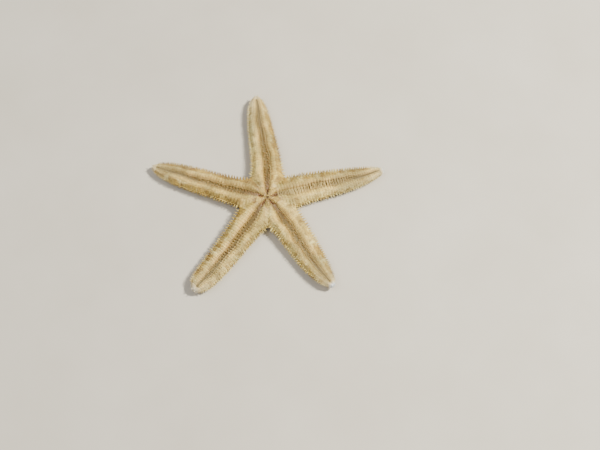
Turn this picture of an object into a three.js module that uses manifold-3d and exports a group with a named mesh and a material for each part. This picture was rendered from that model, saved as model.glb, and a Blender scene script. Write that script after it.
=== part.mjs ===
// A small five-armed sand star lying on its back, mouth side up, at life size.
// Millimetres, +Z up. The origin is the middle of the disc's underside, on the floor, and X runs to the
// right of the star, with arm_1 beside it and the other arms counted anticlockwise.
//
// Every arm is a loft of one cross-section along its own path. The furrow with its tube feet runs down
// the middle, one row of marginal plates lies on each side, and each plate ends in one pointed spine of
// the fringe. The solids reach to the tips of the spines and of the small knobs on the back.

import * as THREE from "three";
import { mergeVertices } from "three/addons/utils/BufferGeometryUtils.js";
import Module from "manifold-3d";

const wasm = await Module();
wasm.setup();

const radians = THREE.MathUtils.degToRad;

// ---- Driving dimensions, in millimetres and degrees ----

const ARM_COUNT = 5;
const SECTOR = (2 * Math.PI) / ARM_COUNT; // the share of the disc that belongs to each arm
const SECTOR_SLOPE = Math.tan(SECTOR / 2);
const FIRST_ARM = radians(19.5); // direction in which arm_1 leaves the disc

const DISC_REACH = 7.0; // from the centre to the plane where each arm begins
const THICKNESS = 4.6; // floor to the crest beside the furrow, on the disc
const TIP_THINNING = 2.2; // what the arm loses of it towards the tip
const REST_SHARE = 0.45; // the share of each arm that lies flat on the floor

const DISC_PLATES = 5; // plates of each row that lie on the disc, outside the mouth
const ARM_PLATES = 35; // plates of each row that lie on the arm
const PLATE_TAPER = 0.2; // plates are this share longer at the arm's base, and shorter at its tip

const RIM_AT_BASE = DISC_REACH * SECTOR_SLOPE; // half width where two neighbouring arms meet
const WEB_LENGTH = 1.3; // how fast the web in the corner between two arms dies out
const FRINGE_AT_BASE = 1.05; // how far the marginal spines stand out
const FRINGE_AT_TIP = 0.6;
const SPINE_LEAN = 0.25; // how far a spine leans to the arm's tip, as a share of its length
const SPINE_CLEARANCE = 0.1; // between the spines of two neighbouring arms, in their corner

const FURROW_DEPTH = 0.4; // as a share of the thickness
const FURROW_AT_MOUTH = 0.75; // half width of a fully open furrow at the mouth
const FURROW_WIDEST = 1.3; // and where it is widest, at the arm's base
const FURROW_TAPER = 0.55; // the share of that width lost towards the tip
const FURROW_LEAST = 0.12; // its least half width, as a share of the arm's
const DRIFT_FADE = 0.5; // the share of a furrow's sideways drift lost towards the tip
const CREST_WIDTH = 1.05; // from the furrow's edge up to the crest of the plates beside it
const FOOT_HEIGHT = 0.72; // tube feet, as a share of the furrow's depth
const FOOT_PLACE = 0.42; // and how far they stand from the furrow's middle, as a share of its half width

// Heights in the section, as shares of the thickness.
const SHOULDER_IN_HEIGHT = 0.97;
const SHOULDER_OUT_HEIGHT = 0.82;
const RIM_TOP_HEIGHT = 0.66;
const VALLEY_AT_MOUTH = 0.92; // the rim's height beside the mouth, where two arms' plates meet
const SPINE_HEIGHT = 0.58;
const RIM_BOTTOM_HEIGHT = 0.28;

const MOUTH_REACH = 3.0; // from the centre to the flat sides of the mouth's recess
const MOUTH_DROP = 0.3; // how far that recess lies under the furrows
const GULLET_REACH = 1.05;
const GULLET_DROP = 0.9; // and the middle of the mouth under the recess
const JAW_TIP = 0.6; // from the centre to the point of each jaw
const JAW_NECK = 1.25; // where the jaws are parted only by the furrows
const JAW_TO_FURROW = [0.42, 0.72]; // from the furrow's middle to the jaw, at its neck and at its back
const JAW_FALL = 0.45; // how far the jaws drop towards the mouth
const JAW_SHOULDER = 0.94; // height of their rounded edge, as a share of the thickness
const JAW_CROWN = 0.8; // size of their flat top, as a share of their outline
const JAW_MIDDLE = 0.6; // and its middle, as a share of their reach from the centre
const THIN_CUT = 0.04; // the gap between neighbouring solids

const TERMINAL_LENGTH = 1.3; // the plate that ends each arm
const TERMINAL_ROUNDS = [0, 0.45, 0.8, 0.97]; // where its sections lie, as shares of its length
const TERMINAL_SPINE = 0.45; // the two small spines beyond it
const PATH_STEP = 0.1;

const MADREPORITE_RADIUS = 0.8;
const MADREPORITE_REACH = 5.2;
const MADREPORITE_DEPTH = 0.45;

// length: mouth to tip. rim: half width near the disc, without the web and the fringe. taper: what that
// half width loses towards the tip. turnMid, turnTip: how far the arm has swung anticlockwise halfway
// and at its tip. rise: how steeply the tip points up. tilt: how far it rolls, anticlockwise side up.
// blunt: how late the tip rounds off. furrow: how far the furrow stands open, from 0 to 1. drift: how far
// the furrow has moved to the arm's left, as the arm was laid down askew.
const ARMS = [
  {
    ...{ name: "arm_1", length: 35.0, rim: 4.7, taper: 1.9, turnMid: -6, turnTip: 2 },
    ...{ rise: 10, tilt: -4, blunt: 5, furrow: 0.85, drift: -0.7 },
  },
  {
    ...{ name: "arm_2", length: 35.4, rim: 4.3, taper: 1.3, turnMid: 9, turnTip: 1 },
    ...{ rise: 14, tilt: 6, blunt: 7, furrow: 0.98, drift: -0.1 },
  },
  {
    ...{ name: "arm_3", length: 35.4, rim: 4.0, taper: 0.7, turnMid: -2.6, turnTip: -1 },
    ...{ rise: 8, tilt: 4, blunt: 6, furrow: 0.92, drift: 0.25 },
  },
  {
    ...{ name: "arm_4", length: 34.3, rim: 4.4, taper: 1.2, turnMid: -1, turnTip: -6 },
    ...{ rise: 12, tilt: -6, blunt: 12, furrow: 0.92, drift: 0.55 },
  },
  {
    ...{ name: "arm_5", length: 32.6, rim: 4.5, taper: 1.1, turnMid: -6.5, turnTip: 3.5 },
    ...{ rise: 16, tilt: -6, blunt: 4.5, furrow: 0.95, drift: -0.45 },
  },
].map((arm, i) => ({ ...arm, direction: FIRST_ARM + i * SECTOR }));

const CREAM = { color: 0xd8c6a0, roughness: 0.75, metalness: 0 };
const PALE = { color: 0xe6dcc4, roughness: 0.6, metalness: 0 };
const GREYISH = { color: 0xcfc4b0, roughness: 0.7, metalness: 0 };

const Z_AXIS = new THREE.Vector3(0, 0, 1);
const mix = THREE.MathUtils.lerp;
const clamp = THREE.MathUtils.clamp;
const smooth = THREE.MathUtils.smoothstep;

// ---- The arm's path ----

// 0 where the arm leaves the disc and 1 at its tip; s is the distance from the centre along the arm.
const share = (arm, s) => clamp((s - DISC_REACH) / (arm.length - DISC_REACH), 0, 1);

// Compass direction of the arm: a parabola through 0, turnMid and turnTip.
const heading = (arm, q) =>
  arm.direction +
  radians(q * (4 * arm.turnMid - arm.turnTip) + q * q * (2 * arm.turnTip - 4 * arm.turnMid));

const pitch = (arm, q) => radians(arm.rise) * Math.max(0, (q - REST_SHARE) / (1 - REST_SHARE)) ** 1.5;

const roll = (arm, q) => radians(arm.tilt) * smooth(q, REST_SHARE, 1);

const forwardAt = (arm, q) =>
  new THREE.Vector3(
    Math.cos(pitch(arm, q)) * Math.cos(heading(arm, q)),
    Math.cos(pitch(arm, q)) * Math.sin(heading(arm, q)),
    Math.sin(pitch(arm, q)),
  );

// A function that carries a section's points (y to the arm's left, z up) to their place in space.
function placer(arm, s) {
  const q = share(arm, s);
  const origin = forwardAt(arm, 0).multiplyScalar(Math.min(s, DISC_REACH));
  const steps = Math.ceil(Math.max(0, s - DISC_REACH) / PATH_STEP);
  const step = (s - DISC_REACH) / Math.max(1, steps);
  for (let i = 0; i < steps; i++) {
    const middle = share(arm, DISC_REACH + (i + 0.5) * step);
    origin.addScaledVector(forwardAt(arm, middle), step);
  }
  const level = new THREE.Vector3(-Math.sin(heading(arm, q)), Math.cos(heading(arm, q)), 0);
  const above = new THREE.Vector3().crossVectors(forwardAt(arm, q), level);
  const cosine = Math.cos(roll(arm, q));
  const sine = Math.sin(roll(arm, q));
  const side = level.clone().multiplyScalar(cosine).addScaledVector(above, sine);
  const up = above.clone().multiplyScalar(cosine).addScaledVector(level, -sine);
  origin.z += sectionSizes(arm, s).sole * Math.abs(sine); // keeps the lower edge off the floor
  return ([y, z]) => origin.clone().addScaledVector(side, y).addScaledVector(up, z);
}

// ---- The cross-section ----

// 1 along most of the arm, falling to 0 at its rounded tip.
const tipRounding = (arm, q) => Math.sqrt(1 - Math.min(q, 0.9995) ** arm.blunt);

// Half of the section, as seen from the arm's middle: side is 1 for its left half and -1 for its right.
function sectionSizes(arm, s, side = 1) {
  const q = share(arm, s);
  const round = tipRounding(arm, q);
  const web = (RIM_AT_BASE - arm.rim) * Math.exp(-Math.max(0, s - DISC_REACH) / WEB_LENGTH);
  const rim = s < DISC_REACH ? s * SECTOR_SLOPE : (arm.rim - arm.taper * q) * round + web;
  const top = (THICKNESS - TIP_THINNING * q) * mix(0.45, 1, round);
  const widest = FURROW_WIDEST * arm.furrow * (1 - FURROW_TAPER * q) * round;
  const widening = smooth(s, MOUTH_REACH, DISC_REACH + 1);
  const opening = mix(FURROW_AT_MOUTH * arm.furrow, widest, widening);
  const furrow = Math.max(opening, FURROW_LEAST * rim);
  const middle = side * arm.drift * widening * (1 - DRIFT_FADE * q) * round;
  const crestWidth = Math.min(CREST_WIDTH, rim / 4);
  const crest = middle + furrow + crestWidth;
  const valley = 1 - widening;
  return {
    rim,
    top,
    middle,
    furrow,
    crest,
    shoulderTop: top * mix(SHOULDER_OUT_HEIGHT, VALLEY_AT_MOUTH, valley),
    rimTop: top * mix(RIM_TOP_HEIGHT, VALLEY_AT_MOUTH, valley),
    depth: top * FURROW_DEPTH * round,
    outer: mix(crest, rim, 0.4),
    sole: mix(furrow + crestWidth, rim, 0.4),
    shoulder: mix(crest, rim, 0.75),
    fringe: mix(FRINGE_AT_BASE, FRINGE_AT_TIP, q) * mix(0.5, 1, round),
  };
}

// The top of one half section, from the middle of the furrow to the rim.
function upperPoints(size) {
  const { top, depth, middle, furrow } = size;
  return [
    [middle, top - 1.1 * depth],
    [middle + 0.62 * furrow, top - depth],
    [middle + furrow, top - 0.25 * depth],
    [size.crest, top],
    [size.outer, SHOULDER_IN_HEIGHT * top],
    [size.shoulder, size.shoulderTop],
    [size.rim, size.rimTop],
  ];
}

const lowerRim = (size) => [size.rim, RIM_BOTTOM_HEIGHT * size.top];

const mirrored = ([y, z]) => [-y, z];

// The closed section, clockwise as seen from the tip looking back at the disc. It stands on the flat
// between its last point on the left and the first on the right.
function armSection(arm, s) {
  const [left, right] = [1, -1].map((side) => {
    const size = sectionSizes(arm, s, side);
    return [...upperPoints(size), lowerRim(size), [size.sole, 0]];
  });
  return [...left, ...right.slice(1).map(mirrored).reverse()];
}

// Where the special faces of a section lie in that loop: the side walls with their spines, and the
// furrow's floor with its tube feet.
const LOOP_LENGTH = 17;
const LEFT_WALL = 6;
const RIGHT_WALL = LOOP_LENGTH - 1 - LEFT_WALL;
const LEFT_FLOOR = 0;
const RIGHT_FLOOR = LOOP_LENGTH - 1;

// ---- Mesh building ----

// Joins rings of points into one skin, between the triangles given for its two ends.
// apexes.get(`${ring},${edge}`) is the tip of a pyramid that stands on that face of the skin.
function loft(rings, start, end, apexes = new Map()) {
  const triangles = [...start, ...end];
  const n = rings[0].length;
  rings.slice(1).forEach((next, i) => {
    const ring = rings[i];
    for (let j = 0; j < n; j++) {
      const k = (j + 1) % n;
      const apex = apexes.get(`${i},${j}`);
      if (apex) {
        triangles.push([ring[j], next[j], apex], [next[j], next[k], apex]);
        triangles.push([next[k], ring[k], apex], [ring[k], ring[j], apex]);
      } else {
        triangles.push([ring[j], next[j], next[k]], [ring[j], next[k], ring[k]]);
      }
    }
  });
  const geometry = new THREE.BufferGeometry();
  const positions = triangles.flat().flatMap((point) => point.toArray());
  geometry.setAttribute("position", new THREE.Float32BufferAttribute(positions, 3));
  return mergeVertices(geometry, 1e-4);
}

// A fan of triangles from a ring to a pole. atEnd is true for the far end of a loft.
function fan(ring, pole, atEnd) {
  return ring.map((point, j) => {
    const next = ring[(j + 1) % ring.length];
    return atEnd ? [pole, next, point] : [pole, point, next];
  });
}

// A flat cap over a ring, cut into triangles in its own section coordinates.
function cap(ring, section, atEnd) {
  const outline = section.map(([y, z]) => new THREE.Vector2(y, z));
  const faces = THREE.ShapeUtils.triangulateShape(outline, []);
  return faces.map(([a, b, c]) => (atEnd ? [ring[a], ring[b], ring[c]] : [ring[c], ring[b], ring[a]]));
}

// The same solid for manifold-3d.
function solidOf(geometry) {
  return new wasm.Manifold(
    new wasm.Mesh({
      numProp: 3,
      vertProperties: geometry.attributes.position.array,
      triVerts: new Uint32Array(geometry.index.array),
    }),
  );
}

function geometryFrom(solid) {
  const mesh = solid.getMesh();
  const geometry = new THREE.BufferGeometry();
  geometry.setAttribute("position", new THREE.BufferAttribute(mesh.vertProperties, 3));
  geometry.setIndex(new THREE.BufferAttribute(mesh.triVerts, 1));
  return geometry;
}

function part(name, geometry, finish) {
  geometry.computeVertexNormals();
  const mesh = new THREE.Mesh(geometry, new THREE.MeshStandardMaterial(finish));
  mesh.name = name;
  return mesh;
}

// ---- Arms ----

// The plates' edges along an arm, longer near the disc and shorter near the tip.
function plateEdges(arm) {
  const length = arm.length - TERMINAL_LENGTH - DISC_REACH;
  return Array.from({ length: ARM_PLATES + 1 }, (_, i) => {
    const t = i / ARM_PLATES;
    const start = i === 0 ? THIN_CUT : 0;
    return DISC_REACH + start + length * (t + PLATE_TAPER * t * (1 - t));
  });
}

// The tip of one marginal spine: it leans towards the arm's tip, and stays in its own sector.
function spineTip(arm, s, side) {
  const size = sectionSizes(arm, s);
  const reach = Math.min(size.rim + size.fringe, s * SECTOR_SLOPE - SPINE_CLEARANCE);
  return placer(arm, s + SPINE_LEAN * size.fringe)([side * reach, SPINE_HEIGHT * size.top]);
}

function footTip(arm, s, side) {
  const size = sectionSizes(arm, s, side);
  const height = size.top - size.depth * (1 - FOOT_HEIGHT);
  return placer(arm, s)([side * (size.middle + FOOT_PLACE * size.furrow), height]);
}

function armBody(arm) {
  const edges = plateEdges(arm);
  const sections = edges.map((s) => armSection(arm, s));
  const rings = sections.map((section, i) => section.map(placer(arm, edges[i])));
  const apexes = new Map();
  for (let i = 0; i < ARM_PLATES; i++) {
    const middle = (edges[i] + edges[i + 1]) / 2;
    apexes.set(`${i},${LEFT_WALL}`, spineTip(arm, middle, 1));
    apexes.set(`${i},${RIGHT_WALL}`, spineTip(arm, middle, -1));
    apexes.set(`${i},${LEFT_FLOOR}`, footTip(arm, middle, 1));
    apexes.set(`${i},${RIGHT_FLOOR}`, footTip(arm, middle, -1));
  }
  const start = cap(rings[0], sections[0], false);
  const end = cap(rings.at(-1), sections.at(-1), true);
  return part(arm.name, loft(rings, start, end, apexes), CREAM);
}

// The plate that closes the end of the arm, with a small spine on each side of the furrow's end.
function terminalPlate(arm) {
  const begin = arm.length - TERMINAL_LENGTH + THIN_CUT;
  const stations = TERMINAL_ROUNDS.map((t) => mix(begin, arm.length, t));
  const sections = stations.map((s) => armSection(arm, s));
  const rings = sections.map((section, i) => section.map(placer(arm, stations[i])));
  const spine = placer(arm, arm.length + TERMINAL_SPINE);
  const reach = sectionSizes(arm, stations[2]).rim / 2;
  const height = sectionSizes(arm, arm.length).top;
  const apexes = new Map([
    [`2,${LEFT_WALL}`, spine([reach, height])],
    [`2,${RIGHT_WALL}`, spine([-reach, height])],
  ]);
  const start = cap(rings[0], sections[0], false);
  const end = fan(rings.at(-1), placer(arm, arm.length)([0, height / 2]), true);
  return part(arm.name.replace("arm", "tip"), loft(rings, start, end, apexes), PALE);
}

// ---- Disc ----

// Height of the mouth's recess, in which the jaws stand.
const RECESS = THICKNESS * (1 - FURROW_DEPTH) - MOUTH_DROP;

// One closed five-sided ring of the disc at the distance x from its centre, anticlockwise from above.
// height gives z for a point of the section, and each corner is shared by two neighbouring arms.
function discRing(x, height) {
  return ARMS.flatMap((arm) => {
    const [left, right] = [1, -1].map((side) => {
      const size = sectionSizes(arm, x, side);
      return upperPoints(size).map((point) => [point[0], height(point, size)]);
    });
    return [...right.slice(1, -1).map(mirrored).reverse(), ...left].map(([y, z]) =>
      new THREE.Vector3(x, y, z).applyAxisAngle(Z_AXIS, arm.direction),
    );
  });
}

// Height of the arms' outline below the disc's edge: flat in the middle, rising to the rim beside it.
function undersideHeight([y], size) {
  const [rim, height] = lowerRim(size);
  return height * clamp((y - size.sole) / (rim - size.sole), 0, 1);
}

function disc() {
  const rows = Array.from({ length: DISC_PLATES + 1 }, (_, i) =>
    discRing(mix(MOUTH_REACH, DISC_REACH, i / DISC_PLATES), ([, z]) => z),
  );
  const rings = [
    discRing(GULLET_REACH, () => RECESS),
    discRing(MOUTH_REACH, () => RECESS),
    ...rows,
    discRing(DISC_REACH, undersideHeight),
    discRing(0.7 * DISC_REACH, () => 0),
  ];
  const gullet = new THREE.Vector3(0, 0, RECESS - GULLET_DROP);
  const start = fan(rings[0], gullet, false);
  const end = fan(rings.at(-1), new THREE.Vector3(), true);
  const body = solidOf(loft(rings, start, end));
  const seat = solidOf(button(MADREPORITE_RADIUS + THIN_CUT, -THIN_CUT, MADREPORITE_DEPTH + THIN_CUT));
  return part("disc", geometryFrom(body.subtract(seat)), CREAM);
}

// ---- Jaws: five wedges in the mouth's recess, each between two furrows ----

// The jaw on the anticlockwise side of the arm with this index. r runs outwards along the jaw.
function jaw(index) {
  const back = MOUTH_REACH / Math.cos(SECTOR / 2) - 2 * THIN_CUT;
  const beside = (x, y, side) => {
    const corner = new THREE.Vector2(x, y).rotateAround(new THREE.Vector2(), -SECTOR / 2);
    return [corner.x, side * corner.y];
  };
  const [neckGap, backGap] = JAW_TO_FURROW;
  const outline = [
    [back, 0],
    beside(MOUTH_REACH - THIN_CUT, backGap, 1),
    beside(JAW_NECK, neckGap, 1),
    [JAW_TIP, 0],
    beside(JAW_NECK, neckGap, -1),
    beside(MOUTH_REACH - THIN_CUT, backGap, -1),
  ];
  const level = (scale, height, fall) =>
    outline.map(([r, t]) => {
      const x = mix(JAW_MIDDLE * back, r, scale);
      const z = height - fall * (1 - x / back);
      const turn = ARMS[index].direction + SECTOR / 2;
      return new THREE.Vector3(x, scale * t, z).applyAxisAngle(Z_AXIS, turn);
    });
  const rings = [
    level(1, RECESS + THIN_CUT, 0),
    level(1, JAW_SHOULDER * THICKNESS, JAW_FALL),
    level(JAW_CROWN, THICKNESS, JAW_FALL),
  ];
  const start = cap(rings[0], outline, false);
  const end = cap(rings.at(-1), outline, true);
  return part(`jaw_${index + 1}`, loft(rings, start, end), PALE);
}

// ---- Madreporite: the round sieve plate on the back, between arm_3 and arm_4 ----

function button(radius, bottom, top) {
  const geometry = new THREE.CylinderGeometry(radius, radius, top - bottom, 16);
  geometry.deleteAttribute("normal");
  geometry.deleteAttribute("uv");
  geometry.rotateX(Math.PI / 2);
  geometry.translate(MADREPORITE_REACH, 0, (bottom + top) / 2);
  geometry.rotateZ(ARMS[2].direction + SECTOR / 2);
  return mergeVertices(geometry, 1e-4);
}

const star = new THREE.Group();
star.name = "sand_star";
star.add(disc());
ARMS.forEach((arm, i) => star.add(armBody(arm), terminalPlate(arm), jaw(i)));
star.add(part("madreporite", button(MADREPORITE_RADIUS, THIN_CUT, MADREPORITE_DEPTH), GREYISH));

export default star;
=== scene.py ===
# %% [markdown]
# # A small sand star on its back
#
# This lesson dresses a packed set of plain solids as a real animal: a five-armed burrowing sand star,
# about 68 mm across, that lies with its mouth side up. One soft skin covers the disc and the arms. Over
# it grow the things that make such a star look as it does: spines, scales, tube feet and, on the back,
# thousands of small crowned pillars. Sizes are in millimetres until a mesh is written in metres.

import itertools
import math
from types import SimpleNamespace

import bmesh
import bpy
import numpy as np
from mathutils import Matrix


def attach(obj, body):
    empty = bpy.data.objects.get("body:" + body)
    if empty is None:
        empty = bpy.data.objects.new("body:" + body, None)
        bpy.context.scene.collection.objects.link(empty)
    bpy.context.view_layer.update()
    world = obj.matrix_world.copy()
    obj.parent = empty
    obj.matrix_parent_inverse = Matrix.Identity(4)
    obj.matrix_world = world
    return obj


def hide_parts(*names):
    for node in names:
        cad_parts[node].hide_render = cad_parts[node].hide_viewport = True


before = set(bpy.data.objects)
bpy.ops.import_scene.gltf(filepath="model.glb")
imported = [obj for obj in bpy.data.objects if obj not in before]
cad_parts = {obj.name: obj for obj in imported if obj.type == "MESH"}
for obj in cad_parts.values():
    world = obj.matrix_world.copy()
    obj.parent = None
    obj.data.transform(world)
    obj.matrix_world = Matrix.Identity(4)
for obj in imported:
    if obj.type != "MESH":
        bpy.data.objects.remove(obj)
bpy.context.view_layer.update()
print("solids:", sorted(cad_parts))

# %% [markdown]
# ## The star's plan
#
# A sea star is built in fifths. Each arm owns a 72 degree sector of the disc and leaves it along its own
# direction, then bends a little, lifts its tip and rolls to one side. Writing this down as a few sizes
# for each arm lets one function place every plate, spine and foot, and keeps the skin inside the solids.
# `across` is the other coordinate that the whole lesson uses: it counts 0 in the middle of the furrow,
# 1 at its edge, 2 on the crest beside it, 5 at the upper rim, 7 at the lower rim and 8 under the middle.
# The last four have names below.

# %% Sizes of the disc and the arms
MM = 0.001
ARM_COUNT = 5
SECTOR = 2 * math.pi / ARM_COUNT
SLOPE = math.tan(SECTOR / 2)
FIRST_ARM = math.radians(19.5)
CREST, UPPER_RIM, LOWER_RIM, UNDERSIDE = 2, 5, 7, 8  # places across the section

DISC_REACH = 7.0
THICKNESS = 4.6
TIP_THINNING = 2.2
REST_SHARE = 0.45  # of an arm lies flat before its tip begins to rise
DISC_PLATES = 5
ARM_PLATES = 35
PLATE_TAPER = 0.2
WEB_LENGTH = 1.3  # over which the web between two arms dies out
FRINGE_AT_BASE, FRINGE_AT_TIP = 1.05, 0.6
FURROW_DEPTH = 0.4
FURROW_AT_MOUTH, FURROW_WIDEST, FURROW_TAPER, FURROW_LEAST = 0.75, 1.3, 0.55, 0.12
DRIFT_FADE = 0.5
CREST_WIDTH = 1.05
MOUTH_REACH = 3.0
RECESS = THICKNESS * (1 - FURROW_DEPTH) - 0.3  # height of the mouth's floor
GULLET_DROP = 0.9
TERMINAL_LENGTH = 1.3


def make_arm(number, length, rim, taper, turn_mid, turn_tip, **pose):
    """Lengths in millimetres, turns in degrees anticlockwise at the middle and at the tip."""
    direction = FIRST_ARM + (number - 1) * SECTOR
    sizes = dict(length=length, rim=rim, taper=taper, turn_mid=turn_mid, turn_tip=turn_tip)
    return SimpleNamespace(number=number, direction=direction, **sizes, **pose)


ARMS = [
    make_arm(1, 35.0, 4.7, 1.9, -6.0, 2.0, rise=10, tilt=-4, blunt=5, furrow=0.85, drift=-0.7, closed=0.9),
    make_arm(2, 35.4, 4.3, 1.3, 9.0, 1.0, rise=14, tilt=6, blunt=7, furrow=0.98, drift=-0.1, closed=0.1),
    make_arm(3, 35.4, 4.0, 0.7, -2.6, -1.0, rise=8, tilt=4, blunt=6, furrow=0.92, drift=0.25, closed=0.15),
    make_arm(4, 34.3, 4.4, 1.2, -1.0, -6.0, rise=12, tilt=-6, blunt=12, furrow=0.92, drift=0.55, closed=0.3),
    make_arm(5, 32.6, 4.5, 1.1, -6.5, 3.5, rise=16, tilt=-6, blunt=4.5, furrow=0.95, drift=-0.45, closed=0.1),
]
print("arms:", len(ARMS), "mean length", np.mean([arm.length for arm in ARMS]))

# %% [markdown]
# ## The path of an arm
#
# The arm's middle line is walked in short steps, each turned by the arm's heading and pitch at that
# place. Every point of the model is then given by how far along that line it lies, and by its place in
# the cross-section there. Walking is simpler than solving for a spline, and it keeps true lengths.

# %% Walk along an arm
PATH_STEP = 0.1


def mix(a, b, t):
    """a where t is 0, b where t is 1."""
    return a + (b - a) * t


def smooth(x, low, high):
    """An even rise from 0 below low to 1 above high."""
    t = np.clip((x - low) / (high - low), 0, 1)
    return t * t * (3 - 2 * t)


def share(arm, s):
    """0 where the arm leaves the disc and 1 at its tip."""
    return np.clip((s - DISC_REACH) / (arm.length - DISC_REACH), 0, 1)


def directions(arm, q):
    """The arm's forward, left and up directions at the share q of its length, and how far it leans."""
    turn = q * (4 * arm.turn_mid - arm.turn_tip) + q * q * (2 * arm.turn_tip - 4 * arm.turn_mid)
    heading = arm.direction + np.radians(turn)
    pitch = np.radians(arm.rise) * np.maximum(0, (q - REST_SHARE) / (1 - REST_SHARE)) ** 1.5
    roll = np.radians(arm.tilt) * smooth(q, REST_SHARE, 1)
    flat = np.zeros_like(heading)
    forward = np.stack([np.cos(pitch) * np.cos(heading), np.cos(pitch) * np.sin(heading), np.sin(pitch)], -1)
    level = np.stack([-np.sin(heading), np.cos(heading), flat], -1)
    above = np.cross(forward, level)
    cosine, sine = np.cos(roll)[..., None], np.sin(roll)[..., None]
    return forward, level * cosine + above * sine, above * cosine - level * sine, np.abs(np.sin(roll))


def walk(arm, s):
    """Origins, and forward, left and up directions, at the distances s from the centre.

    Where the arm rolls to one side it's lifted as well, so that its lower edge stays above the floor.
    """
    s = np.asarray(s, float)
    stops = np.arange(DISC_REACH, arm.length + 2, PATH_STEP)
    start = directions(arm, np.zeros(1))[0] * DISC_REACH
    steps = directions(arm, share(arm, stops[:-1] + PATH_STEP / 2))[0] * PATH_STEP
    line = np.concatenate([start, start + np.cumsum(steps, 0)])
    beyond = np.stack([np.interp(s, stops, line[:, i]) for i in range(3)], -1)
    forward, left, up, lean = directions(arm, share(arm, s))
    origin = np.where((s < DISC_REACH)[..., None], forward * s[..., None], beyond)
    origin[..., 2] += sizes(arm, s).sole * lean
    return origin, forward, left, up


# %% [markdown]
# ## The cross-section
#
# Seen from its tip, an arm is a low box with a groove along the top. The groove is the furrow that
# holds the tube feet. Beside it stand the crests of the plates that guard it, then the broad plates of
# the margin slope down to the rim, and a second row of margin plates makes the side wall. The sizes
# follow the solids. The skin's own outline is drawn a little inside them, by the height of its coat.

# %% Sizes of the section
def sizes(arm, s, side=1.0):
    """The solids' own sizes at the distances s, on the left (side 1) or on the right (-1)."""
    q = share(arm, s)
    rounding = np.sqrt(1 - np.minimum(q, 0.9995) ** arm.blunt)
    base = DISC_REACH * SLOPE
    web = (base - arm.rim) * np.exp(-np.maximum(0, s - DISC_REACH) / WEB_LENGTH)
    rim = np.where(s < DISC_REACH, s * SLOPE, (arm.rim - arm.taper * q) * rounding + web)
    top = (THICKNESS - TIP_THINNING * q) * mix(0.45, 1, rounding)
    widest = FURROW_WIDEST * arm.furrow * (1 - FURROW_TAPER * q) * rounding
    widening = smooth(s, MOUTH_REACH, DISC_REACH + 1)
    opening = mix(FURROW_AT_MOUTH * arm.furrow, widest, widening)
    furrow = np.maximum(opening, FURROW_LEAST * rim)
    crest_width = np.minimum(CREST_WIDTH, rim / 4)
    middle = side * arm.drift * widening * (1 - DRIFT_FADE * q) * rounding
    valley = 1 - widening
    return SimpleNamespace(
        q=q,
        rounding=rounding,
        rim=rim,
        top=top,
        middle=middle,
        furrow=furrow,
        depth=top * FURROW_DEPTH * rounding,
        sole=mix(furrow + crest_width, rim, 0.4),
        shoulder_top=top * mix(0.82, 0.92, valley),
        rim_top=top * mix(0.66, 0.92, valley),
        fringe=mix(FRINGE_AT_BASE, FRINGE_AT_TIP, q) * mix(0.5, 1, rounding),
    )


tip_heights = [float(walk(arm, np.array([arm.length]))[0][0, 2]) for arm in ARMS]
print("undersides of the tips lie at", np.round(tip_heights, 2), "mm")

# %% [markdown]
# ## The skin's outline
#
# Half of the section is drawn with a few points, whose corners are then cut twice to round them. Cutting
# corners keeps the same number of points in every section, so that sections join into a clean grid. The
# upper side, the wall and the back are rounded apart, because on the disc the wall drops out and the
# sheets of neighbouring arms meet along a line.

# %% Cut corners
def round_corners(points, times=2):
    """Cuts the corners of open polylines of shape (..., count, 3), and keeps their ends."""
    for _ in range(times):
        near = mix(points[..., :-1, :], points[..., 1:, :], 0.25)
        far = mix(points[..., :-1, :], points[..., 1:, :], 0.75)
        cut = np.stack([near, far], -2).reshape(*points.shape[:-2], -1, 3)
        points = np.concatenate([points[..., :1, :], cut[..., 1:-1, :], points[..., -1:, :]], -2)
    return points


def stack_points(s, corners):
    """Corners of (y, z, across), each a number or an array along s, as one array (n, corners, 3)."""
    rows = [np.stack([np.broadcast_to(np.asarray(v, float), s.shape) for v in c], -1) for c in corners]
    return np.stack(rows, -2)


# %% Draw half a section
SKIN_DEPTH = 0.22  # from the solids to the skin on top
WALL_DEPTH = 0.2
BACK_DEPTH = 0.34
JOIN = DISC_REACH - 0.36 * (DISC_REACH - MOUTH_REACH) / DISC_PLATES  # where the skins of two arms meet
WALL_RISE = 0.6  # over which the side wall comes out, past the join
OUTER_SHARE = 0.4  # where the outer band begins, from the crest to the rim
WAVE_STARTS = np.random.default_rng(7).uniform(0, 2 * math.pi, (ARM_COUNT, 4))
MIDDLE_WAVE, FURROW_WAVE, TOP_WAVE = (9.0, 0), (6.0, 1), (7.0, 2)  # length, and column of WAVE_STARTS
MIDDLE_SWING, FURROW_SWING, TOP_SWING = 0.1, 0.08, 0.05


def wave(arm, s, kind):
    """A slow swing between -1 and 1 along the arm, which has died out on the disc."""
    length, column = kind
    start = WAVE_STARTS[arm.number - 1, column]
    return np.sin(s * 2 * math.pi / length + start) * smooth(s, JOIN, JOIN + 4)


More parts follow.
